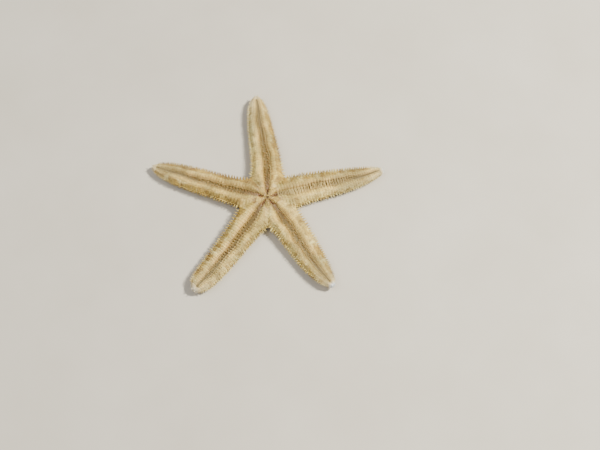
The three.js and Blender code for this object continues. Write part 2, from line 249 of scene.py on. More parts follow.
def half_section(arm, s, side=1.0):
    """Half of the skin's section at each s, as (n, columns, 3) of y away from the middle, z and across."""
    size = sizes(arm, s, side)
    away = 1 - np.exp(-np.maximum(0, s - JOIN) / WALL_RISE)
    web = (JOIN * SLOPE - arm.rim) * np.exp(-np.maximum(0, s - JOIN) / WEB_LENGTH)
    scale = np.clip(size.rim / 2.5, 0.25, 1)
    wall = WALL_DEPTH * away * scale
    rim = np.where(s < JOIN, s * SLOPE, (arm.rim - arm.taper * size.q) * size.rounding + web - wall)
    middle = size.middle + side * MIDDLE_SWING * scale * wave(arm, s, MIDDLE_WAVE)
    furrow = middle + size.furrow * (1 + FURROW_SWING * wave(arm, s, FURROW_WAVE))
    crest = furrow + np.minimum(CREST_WIDTH, size.rim / 4)
    outer = mix(crest, rim, OUTER_SHARE)
    top = size.top - SKIN_DEPTH * scale + TOP_SWING * wave(arm, s, TOP_WAVE)
    depth = size.depth
    upper = [
        (middle, size.top - 1.1 * depth, 0),
        (mix(middle, furrow, 0.5), size.top - 1.0 * depth, 0.5),
        (mix(middle, furrow, 0.88), size.top - 0.7 * depth, 0.9),
        (furrow + 0.06 * scale, top - 0.27 * depth, 1.3),
        (crest - 0.12 * scale, top, CREST),
        (crest + 0.2 * scale, top - 0.1 * scale, 2.4),
        (outer, 0.975 * top, 3),
        (mix(crest, rim, 0.75), size.shoulder_top - 0.9 * SKIN_DEPTH * scale, 4),
        (rim, size.rim_top - 0.1 * scale, UPPER_RIM),
    ]
    low_rim = mix(BACK_DEPTH, 0.28 * size.top + 0.08, smooth(s, 0.7 * DISC_REACH, JOIN))
    flank = [
        (rim, size.rim_top - 0.1 * scale, UPPER_RIM),
        (rim - 0.28 * away * scale, 0.47 * size.top, 6),
        (rim - 0.06 * away * scale, low_rim, LOWER_RIM),
    ]
    back_z = BACK_DEPTH * np.clip(size.top / 1.5, 0.3, 1)
    back = [
        (rim - 0.06 * away * scale, low_rim, LOWER_RIM),
        (size.sole * 1.02, back_z, 7.5),
        (0.0, back_z, UNDERSIDE),
    ]
    sheets = [round_corners(stack_points(s, corners)) for corners in (upper, flank, back)]
    return np.concatenate([sheets[0], sheets[1][:, 1:], sheets[2][:, 1:]], 1)


ACROSS = half_section(ARMS[0], np.array([12.0]))[0][:, 2]  # the same in every section
UPPER_COLUMNS = int(np.argmax(ACROSS >= UPPER_RIM)) + 1
WALL_COLUMNS = int(np.argmax(ACROSS >= LOWER_RIM)) + 1
print("columns in half a section:", len(ACROSS), "upper", UPPER_COLUMNS, "to the lower rim", WALL_COLUMNS)

# %% [markdown]
# ## Plates under the skin
#
# A sea star's armour is rows of small chalky plates, which show through the skin as ribs across the arm.
# The ribs come from pulling the skin in along each joint between two plates. The joints are deep on the
# margins, shallow on the back and almost gone in the soft furrow. Doing this in the mesh, not in a bump
# map, gives true ribs in the outline and true shade between them. Where a comb of spines has closed over
# the furrow it leaves a gap at each joint, and the skin under these gaps is marked here for painted shade.

# %% Plates and the joints between them
PLATES = DISC_PLATES + ARM_PLATES
JOINT_DEPTH = [  # places across, and how deep the joints are there
    (0, 0.03), (0.9, 0.05), (1.3, 0.14), (2, 0.13), (2.4, 0.07), (3, 0.09), (4, 0.14),
    (5, 0.2), (5.6, 0.2), (6, 0.1), (6.4, 0.18), (7, 0.14), (7.3, 0.04), (8, 0.03),
]
DEEPEST_JOINT = max(depth for _, depth in JOINT_DEPTH)
JOINT_WIDTH = 0.14  # as a share of a plate
PHASES = [0, 0.14, 0.36, 0.64, 0.86]  # where the skin has a row of points, in each plate
SLOT_WIDTH = 0.22  # as a share of a plate
COMBS_OPEN = (22, 27)  # between these distances along the arm a closed comb opens again
SLOTS_BEGIN = (9, 13)  # and between these its gaps begin


def plate_edges(arm):
    """Distances of the joints from the centre, from the mouth to the arm's last plate."""
    disc = np.linspace(MOUTH_REACH, DISC_REACH, DISC_PLATES + 1)[:-1]
    t = np.linspace(0, 1, ARM_PLATES + 1)
    length = arm.length - TERMINAL_LENGTH - DISC_REACH
    return np.concatenate([disc, DISC_REACH + length * (t + PLATE_TAPER * t * (1 - t))])


def plate_at(arm, s):
    """The plate at s, counted from the mouth, and as a fraction how far into that plate s lies."""
    return np.interp(s, plate_edges(arm), np.arange(PLATES + 1))


def ribs(arm, s, across):
    """How far the skin is pulled in at s (n,) and across (n, m)."""
    plate = plate_at(arm, s)
    near = np.abs(plate - np.round(plate))
    pull = np.exp(-((near / JOINT_WIDTH) ** 2)) * np.where(s < MOUTH_REACH, 0, 1)
    depth = np.interp(across, *zip(*JOINT_DEPTH))
    size = np.clip(sizes(arm, s).rim / 3, 0.2, 1)
    return depth * (pull * size)[:, None]


def closing(arm, s):
    """How far the combs have closed over the furrow. Towards the tip they stay open."""
    return arm.closed * (1 - smooth(s, *COMBS_OPEN))


def slot_reach(arm, s):
    """How open the gaps of a closed comb are. Near the mouth the spines stand too close for gaps."""
    return closing(arm, s) * smooth(s, *SLOTS_BEGIN)


def slots(arm, s, across, side):
    """1 in the gaps that a closed comb leaves between its plates, along the arm's left edge; the skin there
    gets painted shade.
    """
    plate = plate_at(arm, s)
    near = np.abs(plate - np.round(plate))
    gap = np.exp(-((near / SLOT_WIDTH) ** 2)) * slot_reach(arm, s)
    edge = smooth(across, 0.3, 0.7) * (1 - smooth(across, 1.4, 1.7))
    return gap[:, None] * edge * (side > 0)


# %% Press the joints into the section
def section_normals(half):
    """Outward directions in the section's plane for a half section (n, m, 3)."""
    run = np.gradient(half[..., :2], axis=1)
    run /= np.linalg.norm(run, axis=-1, keepdims=True) + 1e-9
    return np.stack([-run[..., 1], run[..., 0]], -1)


def pulled_section(arm, s, side=1.0):
    """The half section with its ribs."""
    half = half_section(arm, s, side)
    normals = section_normals(half)
    on_disc = (s <= JOIN + 1e-6)[:, None]
    across = half[..., 2]
    seam = on_disc & (across > 4.2)
    normals[seam] = np.where(across[seam] < 6, 1, -1)[:, None] * np.array([0.0, 1.0])
    pull = ribs(arm, s, across) * np.where(seam & (across > UPPER_RIM) & (across < LOWER_RIM), 0, 1)
    half[..., :2] -= normals * pull[..., None]
    half[:, -1, 0] = 0
    return half


plate_lengths = np.diff(plate_edges(ARMS[0]))
shortest, longest = plate_lengths.min().round(2), plate_lengths.max().round(2)
print("plates of an arm:", PLATES, "from", shortest, "to", longest, "mm long")

# %% [markdown]
# ## Meshes from arrays
#
# Blender can take a whole mesh as flat lists of numbers, which is far quicker than adding faces one by
# one. This helper takes points, faces and their places on the bake map, and a few named values at each
# point that the materials read: `across`, `along` the arm, `rise` from root to tip, and `own`, a number
# that differs from spine to spine.

# %% Write a mesh
def write_mesh(name, points, faces, maps, values, material):
    """faces and maps are lists of arrays (m, corners) and (m, corners, 2). Points are in millimetres."""
    mesh = bpy.data.meshes.new(name)
    mesh.vertices.add(len(points))
    mesh.vertices.foreach_set("co", (np.asarray(points) * MM).astype(np.float32).ravel())
    corners = np.concatenate([f.ravel() for f in faces])
    counts = np.concatenate([np.full(len(f), f.shape[1]) for f in faces])
    mesh.loops.add(len(corners))
    mesh.loops.foreach_set("vertex_index", corners.astype(np.int32))
    mesh.polygons.add(len(counts))
    mesh.polygons.foreach_set("loop_start", np.concatenate([[0], np.cumsum(counts)[:-1]]).astype(np.int32))
    mesh.update(calc_edges=True)
    layer = mesh.uv_layers.new(name="OFBake")
    layer.uv.foreach_set("vector", np.concatenate([m.reshape(-1) for m in maps]).astype(np.float32))
    for key, value in values.items():
        data = np.broadcast_to(value, (len(points),)).astype(np.float32)
        mesh.attributes.new(key, "FLOAT", "POINT").data.foreach_set("value", data)
    mesh.validate()
    mesh.shade_smooth()
    mesh.materials.append(material)
    piece = bpy.data.objects.new(name, mesh)
    bpy.context.scene.collection.objects.link(piece)
    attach(piece, "root")
    return piece


# %% [markdown]
# ## Colours of the star
#
# The mouth side of a sand star is cream, with a tan furrow, paler crests beside it, and margins that the
# sand stains ochre in some places and rubs clean in others. The crests also carry a painted highlight:
# their cream is lighter than their own colour. The skin and everything that grows from it share one
# group of nodes, so a spine always has the colour of the place where it stands. The group reads
# `across`, `along` and `stain`, which runs from 1 on an ochre margin to -1 on a clean, pale one.
# Noises of a few sizes break this into patches, and the tips are the palest.

# %% Colours by name
def srgb(r, g, b):
    """A colour seen on screen, from 0 to 255, as the linear values that nodes take."""
    channels = [c / 255 for c in (r, g, b)]
    return tuple(c / 12.92 if c <= 0.04045 else ((c + 0.055) / 1.055) ** 2.4 for c in channels) + (1.0,)


FURROW_BROWN = srgb(206, 185, 146)
COMB_TAN = srgb(222, 203, 160)
# crest cream, lighter than its own colour as a painted highlight along the crest
CREST_CREAM_AND_HIGHLIGHT = srgb(250, 236, 184)
BAND_CREAM = srgb(208, 184, 108)
MARGIN_CREAM = srgb(202, 177, 96)
WALL_TAN = srgb(180, 151, 92)
BACK_BROWN = srgb(146, 122, 88)
SAND_OCHRE = srgb(146, 118, 64)
# brown of the skin in the joints, deepened as painted shade
JOINT_BROWN_AND_SHADE = srgb(146, 122, 82)
SLOT_SHADE = srgb(60, 52, 46)
MOUTH_PINK = srgb(192, 158, 144)
CLEAN_WHITE = srgb(255, 248, 206)
TIP_WHITE = srgb(226, 219, 198)
SPINE_CHALK = srgb(246, 234, 192)
DISC_IVORY = srgb(255, 253, 236)
WHITE = srgb(255, 255, 255)


# %% A short way to wire nodes
class Nodes:
    """A short way to add nodes to a tree and to wire them."""

    def __init__(self, tree):
        self.tree = tree

    def add(self, kind, settings=None, **inputs):
        node = self.tree.nodes.new(kind)
        for key, value in (settings or {}).items():
            setattr(node, key, value)
        for key, value in inputs.items():
            self.set(node, key.replace("_", " "), value)
        return node

    def set(self, node, key, value):
        socket = node.inputs[int(key)] if key.isdigit() else node.inputs[key]
        if isinstance(value, bpy.types.NodeSocket):
            self.tree.links.new(value, socket)
        else:
            socket.default_value = value

    def value(self, name):
        """One of the named values at each point of a mesh."""
        node = self.add("ShaderNodeAttribute", {"attribute_name": name})
        return node.outputs["Fac"]

    def ramp(self, factor, stops):
        node = self.add("ShaderNodeValToRGB", {}, Fac=factor)
        elements = node.color_ramp.elements
        while len(elements) < len(stops):
            elements.new(1.0)
        for element, (place, colour) in zip(elements, sorted(stops)):
            element.position = place
            element.color = colour
        return node.outputs["Color"]

    def mix(self, factor, a, b, blend="MIX"):
        node = self.add("ShaderNodeMix", {"data_type": "RGBA", "blend_type": blend})
        for key, value in (("0", factor), ("6", a), ("7", b)):
            self.set(node, key, value)
        return node.outputs[2]

    def span(self, value, low, high, out_low=0.0, out_high=1.0):
        """value from low to high becomes out_low to out_high."""
        node = self.add("ShaderNodeMapRange", {})
        for key, number in zip("01234", (value, low, high, out_low, out_high)):
            self.set(node, key, number)
        return node.outputs[0]

    def times(self, a, b):
        node = self.add("ShaderNodeMath", {"operation": "MULTIPLY"})
        self.set(node, "0", a)
        self.set(node, "1", b)
        return node.outputs[0]

    def noise(self, place, scale, detail=3.0, roughness=0.6):
        sizes_of_noise = dict(Scale=scale, Detail=detail, Roughness=roughness)
        node = self.add("ShaderNodeTexNoise", {}, Vector=place, **sizes_of_noise)
        return node.outputs["Fac"]


# %% A group of nodes for the markings
def markings_group():
    tree = bpy.data.node_groups.new("star_markings", "ShaderNodeTree")
    tree.interface.new_socket("Color", in_out="OUTPUT", socket_type="NodeSocketColor")
    n = Nodes(tree)
    place = n.add("ShaderNodeTexCoord").outputs["Object"]
    across = n.span(n.value("across"), 0.0, 8.0)
    base = n.ramp(
        across,
        [
            (0.0, FURROW_BROWN),
            (0.10, FURROW_BROWN),
            (0.16, COMB_TAN),
            # the crest's cream is partly a painted highlight
            (0.23, CREST_CREAM_AND_HIGHLIGHT),
            (0.29, CREST_CREAM_AND_HIGHLIGHT),
            (0.36, BAND_CREAM),
            (0.50, BAND_CREAM),
            (0.62, MARGIN_CREAM),
            (0.80, WALL_TAN),
            (0.90, BACK_BROWN),
        ],
    )
    stain = n.value("stain")
    patches = n.span(n.noise(place, 260.0, 4.0), 0.42, 0.6, 0.3, 1.0)
    base = n.mix(n.times(n.span(stain, 0.0, 1.0), patches), base, SAND_OCHRE)
    base = n.mix(n.span(stain, 0.0, -1.0, 0.0, 0.85), base, CLEAN_WHITE)
    even_back = n.span(across, 0.76, 0.9, 1.0, 0.25)
    dusty = n.times(n.span(n.noise(place, 520.0, 4.0), 0.5, 0.64), n.span(across, 0.22, 0.36))
    dusty = n.times(dusty, even_back)
    base = n.mix(n.times(dusty, 0.75), base, SAND_OCHRE)
    clean = n.times(n.span(n.noise(place, 340.0, 4.0, 0.7), 0.5, 0.62), n.span(across, 0.2, 0.3))
    clean = n.times(n.times(clean, even_back), n.span(stain, 0.0, 1.0, 1.0, 0.2))
    base = n.mix(n.times(clean, 0.95), base, CLEAN_WHITE)
    whiter = n.times(n.span(n.value("along"), 0.7, 0.97), n.span(stain, 1.0, -1.0, 0.0, 0.95))
    base = n.mix(whiter, base, TIP_WHITE)
    warmth = n.ramp(n.value("along"), [(0.0, DISC_IVORY), (0.25, DISC_IVORY), (0.55, WHITE)])
    base = n.mix(1.0, base, warmth, "MULTIPLY")
    broad = n.span(n.noise(place, 200.0, 1.0), 0.38, 0.62, 0.74, 1.14)
    grain = n.times(broad, n.span(n.noise(place, 2600.0, 2.0), 0.3, 0.7, 0.86, 1.1))
    lit = n.add("ShaderNodeVectorMath", {"operation": "SCALE"})
    n.set(lit, "0", base)
    n.set(lit, "Scale", grain)
    out = n.add("NodeGroupOutput")
    n.set(out, "0", lit.outputs[0])
    return tree


MARKINGS = markings_group()
print("markings group:", len(MARKINGS.nodes), "nodes")

# %% [markdown]
# ## Finishes
#
# A wet sand star isn't glossy: its skin is thin and damp over chalk, so it has a soft, broken sheen and a
# little light passes through its edges. The skin is darkened between the plates, partly for the bare skin
# where the coat doesn't reach and partly as painted shade, darkest where the joints are deepest. Spines are
# chalky at their tips and take the skin's colour at their roots.

# %% Materials of skin and coat
def start_material(name):
    """A new material, a helper for its nodes, its shader, and places in metres for its noises."""
    material = bpy.data.materials.new(name)
    material.use_nodes = True
    n = Nodes(material.node_tree)
    shader = material.node_tree.nodes["Principled BSDF"]
    place = n.add("ShaderNodeTexCoord").outputs["Object"]
    return material, n, shader, place


def bumps(n, shader, place, scale, strength, distance, detail=3.0):
    """Fine relief: scale is in bumps per metre, distance is their height in metres."""
    height = n.noise(place, scale, detail)
    bump = n.add("ShaderNodeBump", {}, Height=height, Strength=strength, Distance=distance)
    n.set(shader, "Normal", bump.outputs["Normal"])


def soften(shader, weight, reach):
    """Lets light pass through thin edges. reach is in metres."""
    shader.inputs["Subsurface Weight"].default_value = weight
    shader.inputs["Subsurface Scale"].default_value = reach
    shader.inputs["Subsurface Radius"].default_value = (1.0, 0.75, 0.5)


def markings_of(n):
    """The colour that the shared group gives here."""
    return n.add("ShaderNodeGroup", {"node_tree": MARKINGS}).outputs["Color"]


def skin_material():
    material, n, shader, place = start_material("damp_skin")
    shade = n.ramp(n.noise(place, 1500.0, 4.0), [(0.3, srgb(196, 168, 114)), (0.7, srgb(240, 226, 184))])
    colour = n.mix(0.75, markings_of(n), shade, "MULTIPLY")
    # joints: darker skin colour plus painted shade, by how deep each joint is
    colour = n.mix(n.times(n.value("joint"), 0.45), colour, JOINT_BROWN_AND_SHADE)
    # painted shade: the skin in a closed comb's gaps is darkened as if in deep shadow
    colour = n.mix(n.value("slot"), colour, SLOT_SHADE)
    colour = n.mix(n.times(n.value("mouth"), 0.7), colour, MOUTH_PINK)
    n.set(shader, "Base Color", colour)
    n.set(shader, "Roughness", n.span(n.noise(place, 900.0), 0.3, 0.7, 0.42, 0.68))
    bumps(n, shader, place, 5200.0, 0.5, 0.00006)
    soften(shader, 0.12, 0.0006)
    return material


def coat_material():
    material, n, shader, place = start_material("chalky_spines")
    pale = n.mix(n.span(n.value("rise"), 0.2, 1.0, 0.0, 0.3), markings_of(n), SPINE_CHALK)
    tones = [(0.0, srgb(140, 112, 66)), (0.3, srgb(216, 197, 146)), (0.7, srgb(255, 251, 216))]
    tint = n.ramp(n.value("own"), tones)
    n.set(shader, "Base Color", n.mix(0.85, pale, tint, "MULTIPLY"))
    n.set(shader, "Roughness", n.span(n.noise(place, 1800.0), 0.3, 0.7, 0.4, 0.62))
    bumps(n, shader, place, 7000.0, 0.25, 0.00003)
    soften(shader, 0.1, 0.0004)
    return material


SKIN_FINISH = skin_material()
COAT_FINISH = coat_material()
print("finishes:", SKIN_FINISH.name, "and", COAT_FINISH.name)

# %% [markdown]
# ## Stains of the sand
#
# Where fine sand clings to the coat the plates look ochre, and where coarse sand has rubbed them they are
# clean and pale. Neither comes evenly: one side of an arm can be darker than the other. A noise alone
# would treat all sides alike, so each arm has four listed levels, and every point takes a level
# between them. The furrow and its combs keep their own colour, and the tips are rubbed the whitest.

# %% Set the stains
SAND_STAIN = [  # at the base and the tip of each arm's left side, then of its right side
    (-0.2, 0.6, -0.9, -0.9),
    (-0.8, -1.0, -0.1, 1.0),
    (-0.4, 0.4, 1.0, 1.0),
    (-0.6, -0.6, -0.1, 0.8),
    (-0.7, 0.8, -1.0, 0.4),
]
PALENESS = [0.8, 0.15, 0.1, 0.35, 1.0]  # of each arm's tip


def stain(arm, s, across, side):
    """From 1, where sand has left the plates ochre, to -1, where they have stayed clean and pale."""
    left_base, left_tip, right_base, right_tip = SAND_STAIN[arm.number - 1]
    left, right = mix(left_base, left_tip, share(arm, s)), mix(right_base, right_tip, share(arm, s))
    rubbed = PALENESS[arm.number - 1] * smooth(share(arm, s), 0.82, 0.96)
    level = mix(np.where(side > 0, left, right), -1.0, rubbed)
    return level * smooth(across, 1.4, 3.4) * (1 - 0.75 * smooth(across, 6.2, 7.2))


print("mean stain:", np.mean(SAND_STAIN).round(2), "palest tip: arm", 1 + int(np.argmax(PALENESS)))

# %% [markdown]
# ## One skin
#
# The skin is one closed grid: rows across each arm and columns along it. On the disc the five sectors
# share their border points, and at the mouth the rows shrink into the gullet. Each arm is first made as a
# sheet of its own, and the points that coincide are then welded, so that no seam is left.

# %% Rows of the skin
MOUTH_ROWS = np.array([0.12, 0.3, 0.5, 0.75, 1.05, 1.5, 2.0, 2.5, 2.8])
TIP_ROWS = [0.25, 0.5, 0.7, 0.84, 0.93, 0.985]
SKIN_TIP = 0.15  # how far the skin ends inside the arm's tip
MAP_LENGTH = 37.0  # a little more than the longest arm


def skin_stations(arm):
    """The distances from the centre at which the skin has a row of points."""
    edges = plate_edges(arm)
    plates = [mix(a, b, phase) for a, b in zip(edges, edges[1:]) for phase in PHASES]
    tip = [mix(edges[-1], arm.length - SKIN_TIP, t) for t in [0, *TIP_ROWS]]
    return np.concatenate([MOUTH_ROWS, plates, tip])


print("rows of points along each arm's skin:", [len(skin_stations(arm)) for arm in ARMS])


# %% Lay out one arm's sheet
MOUTH_BRIM = 2.7  # from here to the mouth's edge the film rises to the brim


def mouth_height(s, across):
    """The soft film round the mouth: level, in faint folds, and falling into the gullet."""
    fall = GULLET_DROP * (1 - smooth(s, 0.25, 1.15))
    folds = 0.05 * np.cos(across * 2.2) * smooth(s, 0.5, 1.5)
    return RECESS - 0.08 - fall + folds


def place_loops(arm, s, left_half, right_half):
    """Two half sections as whole loops round the arm: placed in space, and still in the section's plane."""
    loops = np.concatenate([left_half, right_half[:, -2:0:-1] * np.array([-1, 1, 1])], 1)
    origin, _, left, up = walk(arm, s)
    return origin[:, None] + loops[..., :1] * left[:, None] + loops[..., 1:2] * up[:, None], loops


def skin_grid(arm):
    """Points of an arm's loops (rows, loop, 3), the loops' across values, and the rows' stations."""
    s = skin_stations(arm)
    brim = pulled_section(arm, np.full(1, MOUTH_REACH))[0, :UPPER_COLUMNS]
    halves = [pulled_section(arm, s, side) for side in (1.0, -1.0)]
    for half in halves:
        for row in range(len(MOUTH_ROWS)):
            film = mouth_height(s[row], brim[:, 2])
            half[row, :UPPER_COLUMNS, 0] = brim[:, 0] * s[row] / MOUTH_REACH
            half[row, :UPPER_COLUMNS, 1] = mix(film, brim[:, 1], smooth(s[row], MOUTH_BRIM, MOUTH_REACH))
    points, loops = place_loops(arm, s, *halves)
    return points, loops[0, :, 2], s


# %% Join the five sheets
def map_place(arm_index, s, turn, arms_on_map=ARM_COUNT):
    """A place on the unwrapped skin: s runs along it, and turn from 0 to 1 goes round the arm."""
    return np.stack([0.01 + 0.98 * s / MAP_LENGTH, (arm_index + 0.01 + 0.98 * turn) / arms_on_map], -1)


def build_skin():
    points, faces, maps = [], [], []
    values = {name: [] for name in ("across", "along", "stain", "joint", "slot", "mouth")}
    count = 0
    for k, arm in enumerate(ARMS):
        grid, across, s = skin_grid(arm)
        rows, loop = grid.shape[:2]
        wall = (across > UPPER_RIM - 1e-6) & (across < LOWER_RIM + 1e-6)
        number = count + np.arange(rows * loop).reshape(rows, loop)
        for j in range(loop):
            nxt = (j + 1) % loop
            whole = not (wall[j] and wall[nxt])
            first = 0 if whole else int(np.argmax(s >= JOIN - 1e-6))
            i = np.arange(first, rows - 1)
            faces.append(np.stack([number[i, j], number[i + 1, j], number[i + 1, nxt], number[i, nxt]], -1))
            turns = [j / loop, j / loop, (j + 1) / loop, (j + 1) / loop]
            stops = [s[i], s[i + 1], s[i + 1], s[i]]
            maps.append(np.stack([map_place(k, a, np.full(len(i), t)) for a, t in zip(stops, turns)], 1))
        faces.append(number[-1][None])
        maps.append(map_place(k, np.full(loop, s[-1]), np.arange(loop) / loop)[None])
        points.append(grid.reshape(-1, 3))
        side = np.where(np.arange(loop) * 2 < loop, 1.0, -1.0)
        marks = {
            "across": across,
            "along": share(arm, s)[:, None],
            "stain": stain(arm, s[:, None], across, side),
            # joint: the depth of each joint, which sets its brown and its painted shade
            "joint": ribs(arm, s, across) / DEEPEST_JOINT,
            # slot: where the skin gets painted shade under a closed comb's gaps
            "slot": slots(arm, s, across, side),
            "mouth": (1 - smooth(s, 2.0, 4.5))[:, None] * (1 - smooth(across, 4.0, 5.0)),
        }
        for name, value in marks.items():
            values[name].append(np.broadcast_to(value, (rows, loop)).ravel())
        count += rows * loop
    values = {name: np.concatenate(value) for name, value in values.items()}
    return write_mesh("skin", np.concatenate(points), faces, maps, values, SKIN_FINISH)


# %% Weld the sheets
def weld(piece, reach=2e-6):
    """Joins points that coincide, closes the small holes left at the centre, and turns all faces out."""
    shell = bmesh.new()
    shell.from_mesh(piece.data)
    bmesh.ops.remove_doubles(shell, verts=shell.verts, dist=reach)
    loose = [v for v in shell.verts if not v.link_faces]
    bmesh.ops.delete(shell, geom=loose, context="VERTS")
    open_edges = [e for e in shell.edges if e.is_boundary]
    bmesh.ops.holes_fill(shell, edges=open_edges, sides=0)
    bmesh.ops.recalc_face_normals(shell, faces=shell.faces)
    left = sum(e.is_boundary for e in shell.edges)
    shell.to_mesh(piece.data)
    shell.free()
    piece.data.shade_smooth()
    return left


skin = build_skin()
open_edges = weld(skin)
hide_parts("disc", *[f"arm_{arm.number}" for arm in ARMS])
print("skin:", len(skin.data.polygons), "faces, open edges", open_edges)

# %% [markdown]
# ## How a spine is grown
#
# All of the coat is one idea repeated: a small tapering solid whose root stands on the skin. So one
# function grows thousands of them at once as arrays, from their roots, directions and sizes. Blender's
# instances would be lighter, but plain joined meshes survive an export. On the bake map each spine is a
# tiny patch at its root's own place, with its height along the patch, so neighbours never share colours.

# %% Stand on the skin
def on_skin(arm, s, across, side):
    """For roots at s and across, on the left (1) or right (-1): place, normal, outward run and forward."""
    half = pulled_section(arm, s, side)
    normals = section_normals(half)
    column = np.interp(across, ACROSS, np.arange(len(ACROSS)))
    low = np.minimum(column.astype(int), len(ACROSS) - 2)
    part = (column - low)[:, None]
    row = np.arange(len(s))
    yz = mix(half[row, low, :2], half[row, low + 1, :2], part)
    normal = mix(normals[row, low], normals[row, low + 1], part)
    origin, forward, left, up = walk(arm, s)
    left = left * side[:, None]
    point = origin + yz[:, :1] * left + yz[:, 1:] * up
    out = normal[:, :1] * left + normal[:, 1:] * up
    run = normal[:, 1:] * left - normal[:, :1] * up
    return point, out, run, forward


def unit(vectors):
    """The vectors, each made 1 long."""
    return vectors / (np.linalg.norm(vectors, axis=-1, keepdims=True) + 1e-12)


def turn_on_map(across, side):
    """Where a root lies on the way round the arm, from 0 to 1."""
    half_turn = np.interp(across, ACROSS, np.arange(len(ACROSS))) / (len(ACROSS) - 1) / 2
    return np.where(side > 0, half_turn, 1 - half_turn)


def map_for(s, across, side):
    """The place on the bake map of roots on the skin."""
    return map_place(0, s, turn_on_map(across, side), arms_on_map=1)


# %% Faces of one spine
MAP_PATCH = 0.003  # a spine's share of the bake map's side


def patch_place(turn, height, sides):
    """A place in a spine's patch of the map, from -0.5 to 0.5 round the spine and up it."""
    return np.stack([turn / sides - 0.5, height - 0.5], -1)


def spine_faces(heights, sides):
    """Faces of a closed spine with rings at all heights but the last, and their places in the patch."""
    rings = len(heights) - 1
    i, j = np.meshgrid(np.arange(rings - 1), np.arange(sides), indexing="ij")
    a, b = i * sides + j, i * sides + (j + 1) % sides
    quads = np.stack([a, b, b + sides, a + sides], -1).reshape(-1, 4)
    steps = ((0, 0), (0, 1), (1, 1), (1, 0))
    quad_map = np.stack([patch_place(j + dj, heights[i + di], sides) for di, dj in steps], -2)
    k = np.arange(sides)
    last = (rings - 1) * sides
    tips = np.stack([last + k, last + (k + 1) % sides, np.full(sides, rings * sides)], -1)
    corners = ((0, heights[rings - 1]), (1, heights[rings - 1]), (0.5, 1.0))
    tip_map = np.stack([patch_place(k + step, np.full(sides, h), sides) for step, h in corners], 1)
    base = k[::-1][None]
    base_map = patch_place(k[::-1], np.zeros(sides), sides)[None]
    return (quads, quad_map.reshape(-1, 4, 2)), (tips, tip_map), (base, base_map)


print("faces of a spine with four rings and five sides:", sum(len(f) for f, _ in spine_faces(np.ones(5), 5)))


# %% Grow spines
class Coat:
    """Spines of one piece, as lists of arrays that write_mesh takes."""

    def __init__(self):
        self.points, self.faces, self.maps = [], [], []
        self.values = {"across": [], "along": [], "stain": [], "rise": [], "own": []}
        self.count = 0
        self.spines = 0

    def grow(self, root, axis, broad, length, width, shape, sides=5, flat=1.0,
             bend=None, place=None, **marks):
        """One spine for each root. shape is its rings, as heights and half widths; place is on the map."""
        number = len(root)
        axis = unit(axis)
        broad = unit(broad - axis * np.sum(broad * axis, -1, keepdims=True))
        thick = np.cross(axis, broad)
        heights = np.array([h for h, _ in shape] + [1.0])
        radii = np.array([r for _, r in shape])
        length, width, flat = (np.broadcast_to(v, (number,))[:, None, None] for v in (length, width, flat))
        bend = np.zeros((number, 3)) if bend is None else bend
        spine = axis[:, None] * heights[:, None] + bend[:, None] * heights[:, None] ** 2
        spine = root[:, None] + spine * length
        angles = np.arange(sides) / sides * 2 * math.pi
        rim = broad[:, None] * np.cos(angles)[:, None] + thick[:, None] * np.sin(angles)[:, None] * flat
        ring = rim[:, None] * radii[:, None, None] * width[..., None] / 2
        rings = spine[:, :-1, None] + ring
        body = np.concatenate([rings.reshape(number, -1, 3), spine[:, -1:]], 1)
        self.add_faces(body, heights, sides, place)
        for key, value in marks.items():
            self.values[key].append(np.repeat(np.broadcast_to(value, (number,)), body.shape[1]))
        rise = np.append(np.repeat(heights[:-1], sides), 1.0)
        self.values["rise"].append(np.tile(rise, number))
        self.spines += number

    def add_faces(self, body, heights, sides, place):
        """The faces of one spine, repeated for every root."""
        number, size = body.shape[:2]
        start = self.count + np.arange(number)[:, None, None] * size
        for face, place_in_patch in spine_faces(heights, sides):
            self.faces.append((start + face[None]).reshape(-1, face.shape[1]))
            spread = place[:, None, None] + MAP_PATCH * place_in_patch[None]
            self.maps.append(spread.reshape(-1, face.shape[1], 2))
        self.points.append(body.reshape(-1, 3))
        self.count += number * size

    def write(self, name, material, slot):
        values = {key: np.concatenate(value) for key, value in self.values.items()}
        return write_mesh(name, np.concatenate(self.points), self.faces, self.maps, values, material)


# %% Tone and scale each spine
PLATE_TONE = 0.55  # how far the spines of one plate share one tone
SMALLEST_SPINE = 0.58
FULL_SPINE_RIM = 3.6  # half width of the arm from which its spines are full size


def marks_for(arm, s, across, side, chance):
    """The values that give each spine the colours of its root, and one partly of its own."""
    plate = plate_at(arm, s).astype(int)
    tone = chance.random((2, PLATES + 1))[(side > 0).astype(int), plate]
    own = mix(chance.random(len(s)), tone, PLATE_TONE)
    return dict(across=across, along=share(arm, s), stain=stain(arm, s, across, side), own=own)


def spine_scale(arm, s):
    """Spines are smaller where the arm is narrow."""
    return np.clip(sizes(arm, s).rim / FULL_SPINE_RIM, SMALLEST_SPINE, 1.0)


print("scale of the spines at the tips:", [float(spine_scale(arm, arm.length).round(2)) for arm in ARMS])

# %% [markdown]
# ## Spinelets of the margin
#
# The broad plates that border the mouth side carry flat, blunt spinelets in rows, laid outward like
# shingles. Seen from a little way off they make the cream bands look combed across. Each plate gets three
# rows, and the rows get as many spinelets as fit, so that the bands stay evenly covered where they narrow.

# %% Lay the shingles
BLUNT_SPINE = [(0, 0.9), (0.3, 1.0), (0.7, 0.85), (0.93, 0.5)]  # rings, as heights and half widths
ROOT_DEPTH = 0.03  # how far roots are sunk in the skin
SHINGLE_ROWS = [0.22, 0.5, 0.78]  # in each plate
SHINGLE_SPACING = 0.27
SHINGLES_BEGIN, SHINGLES_BEGIN_ON_TIP = 2.35, 1.2  # across, on the margins and on the plate at the tip
TIP_PLATE_EDGES = [0.95, 0.6, 0.25]  # rows on the plate at the tip, from the arm's end
CAP_GROWTH = 0.07  # how far that plate stands out over the skin


def both_sides(*arrays):
    """The same roots on the left and on the right."""
    side = np.repeat([1.0, -1.0], len(arrays[0]))
    return [np.tile(a, 2) for a in arrays] + [side]


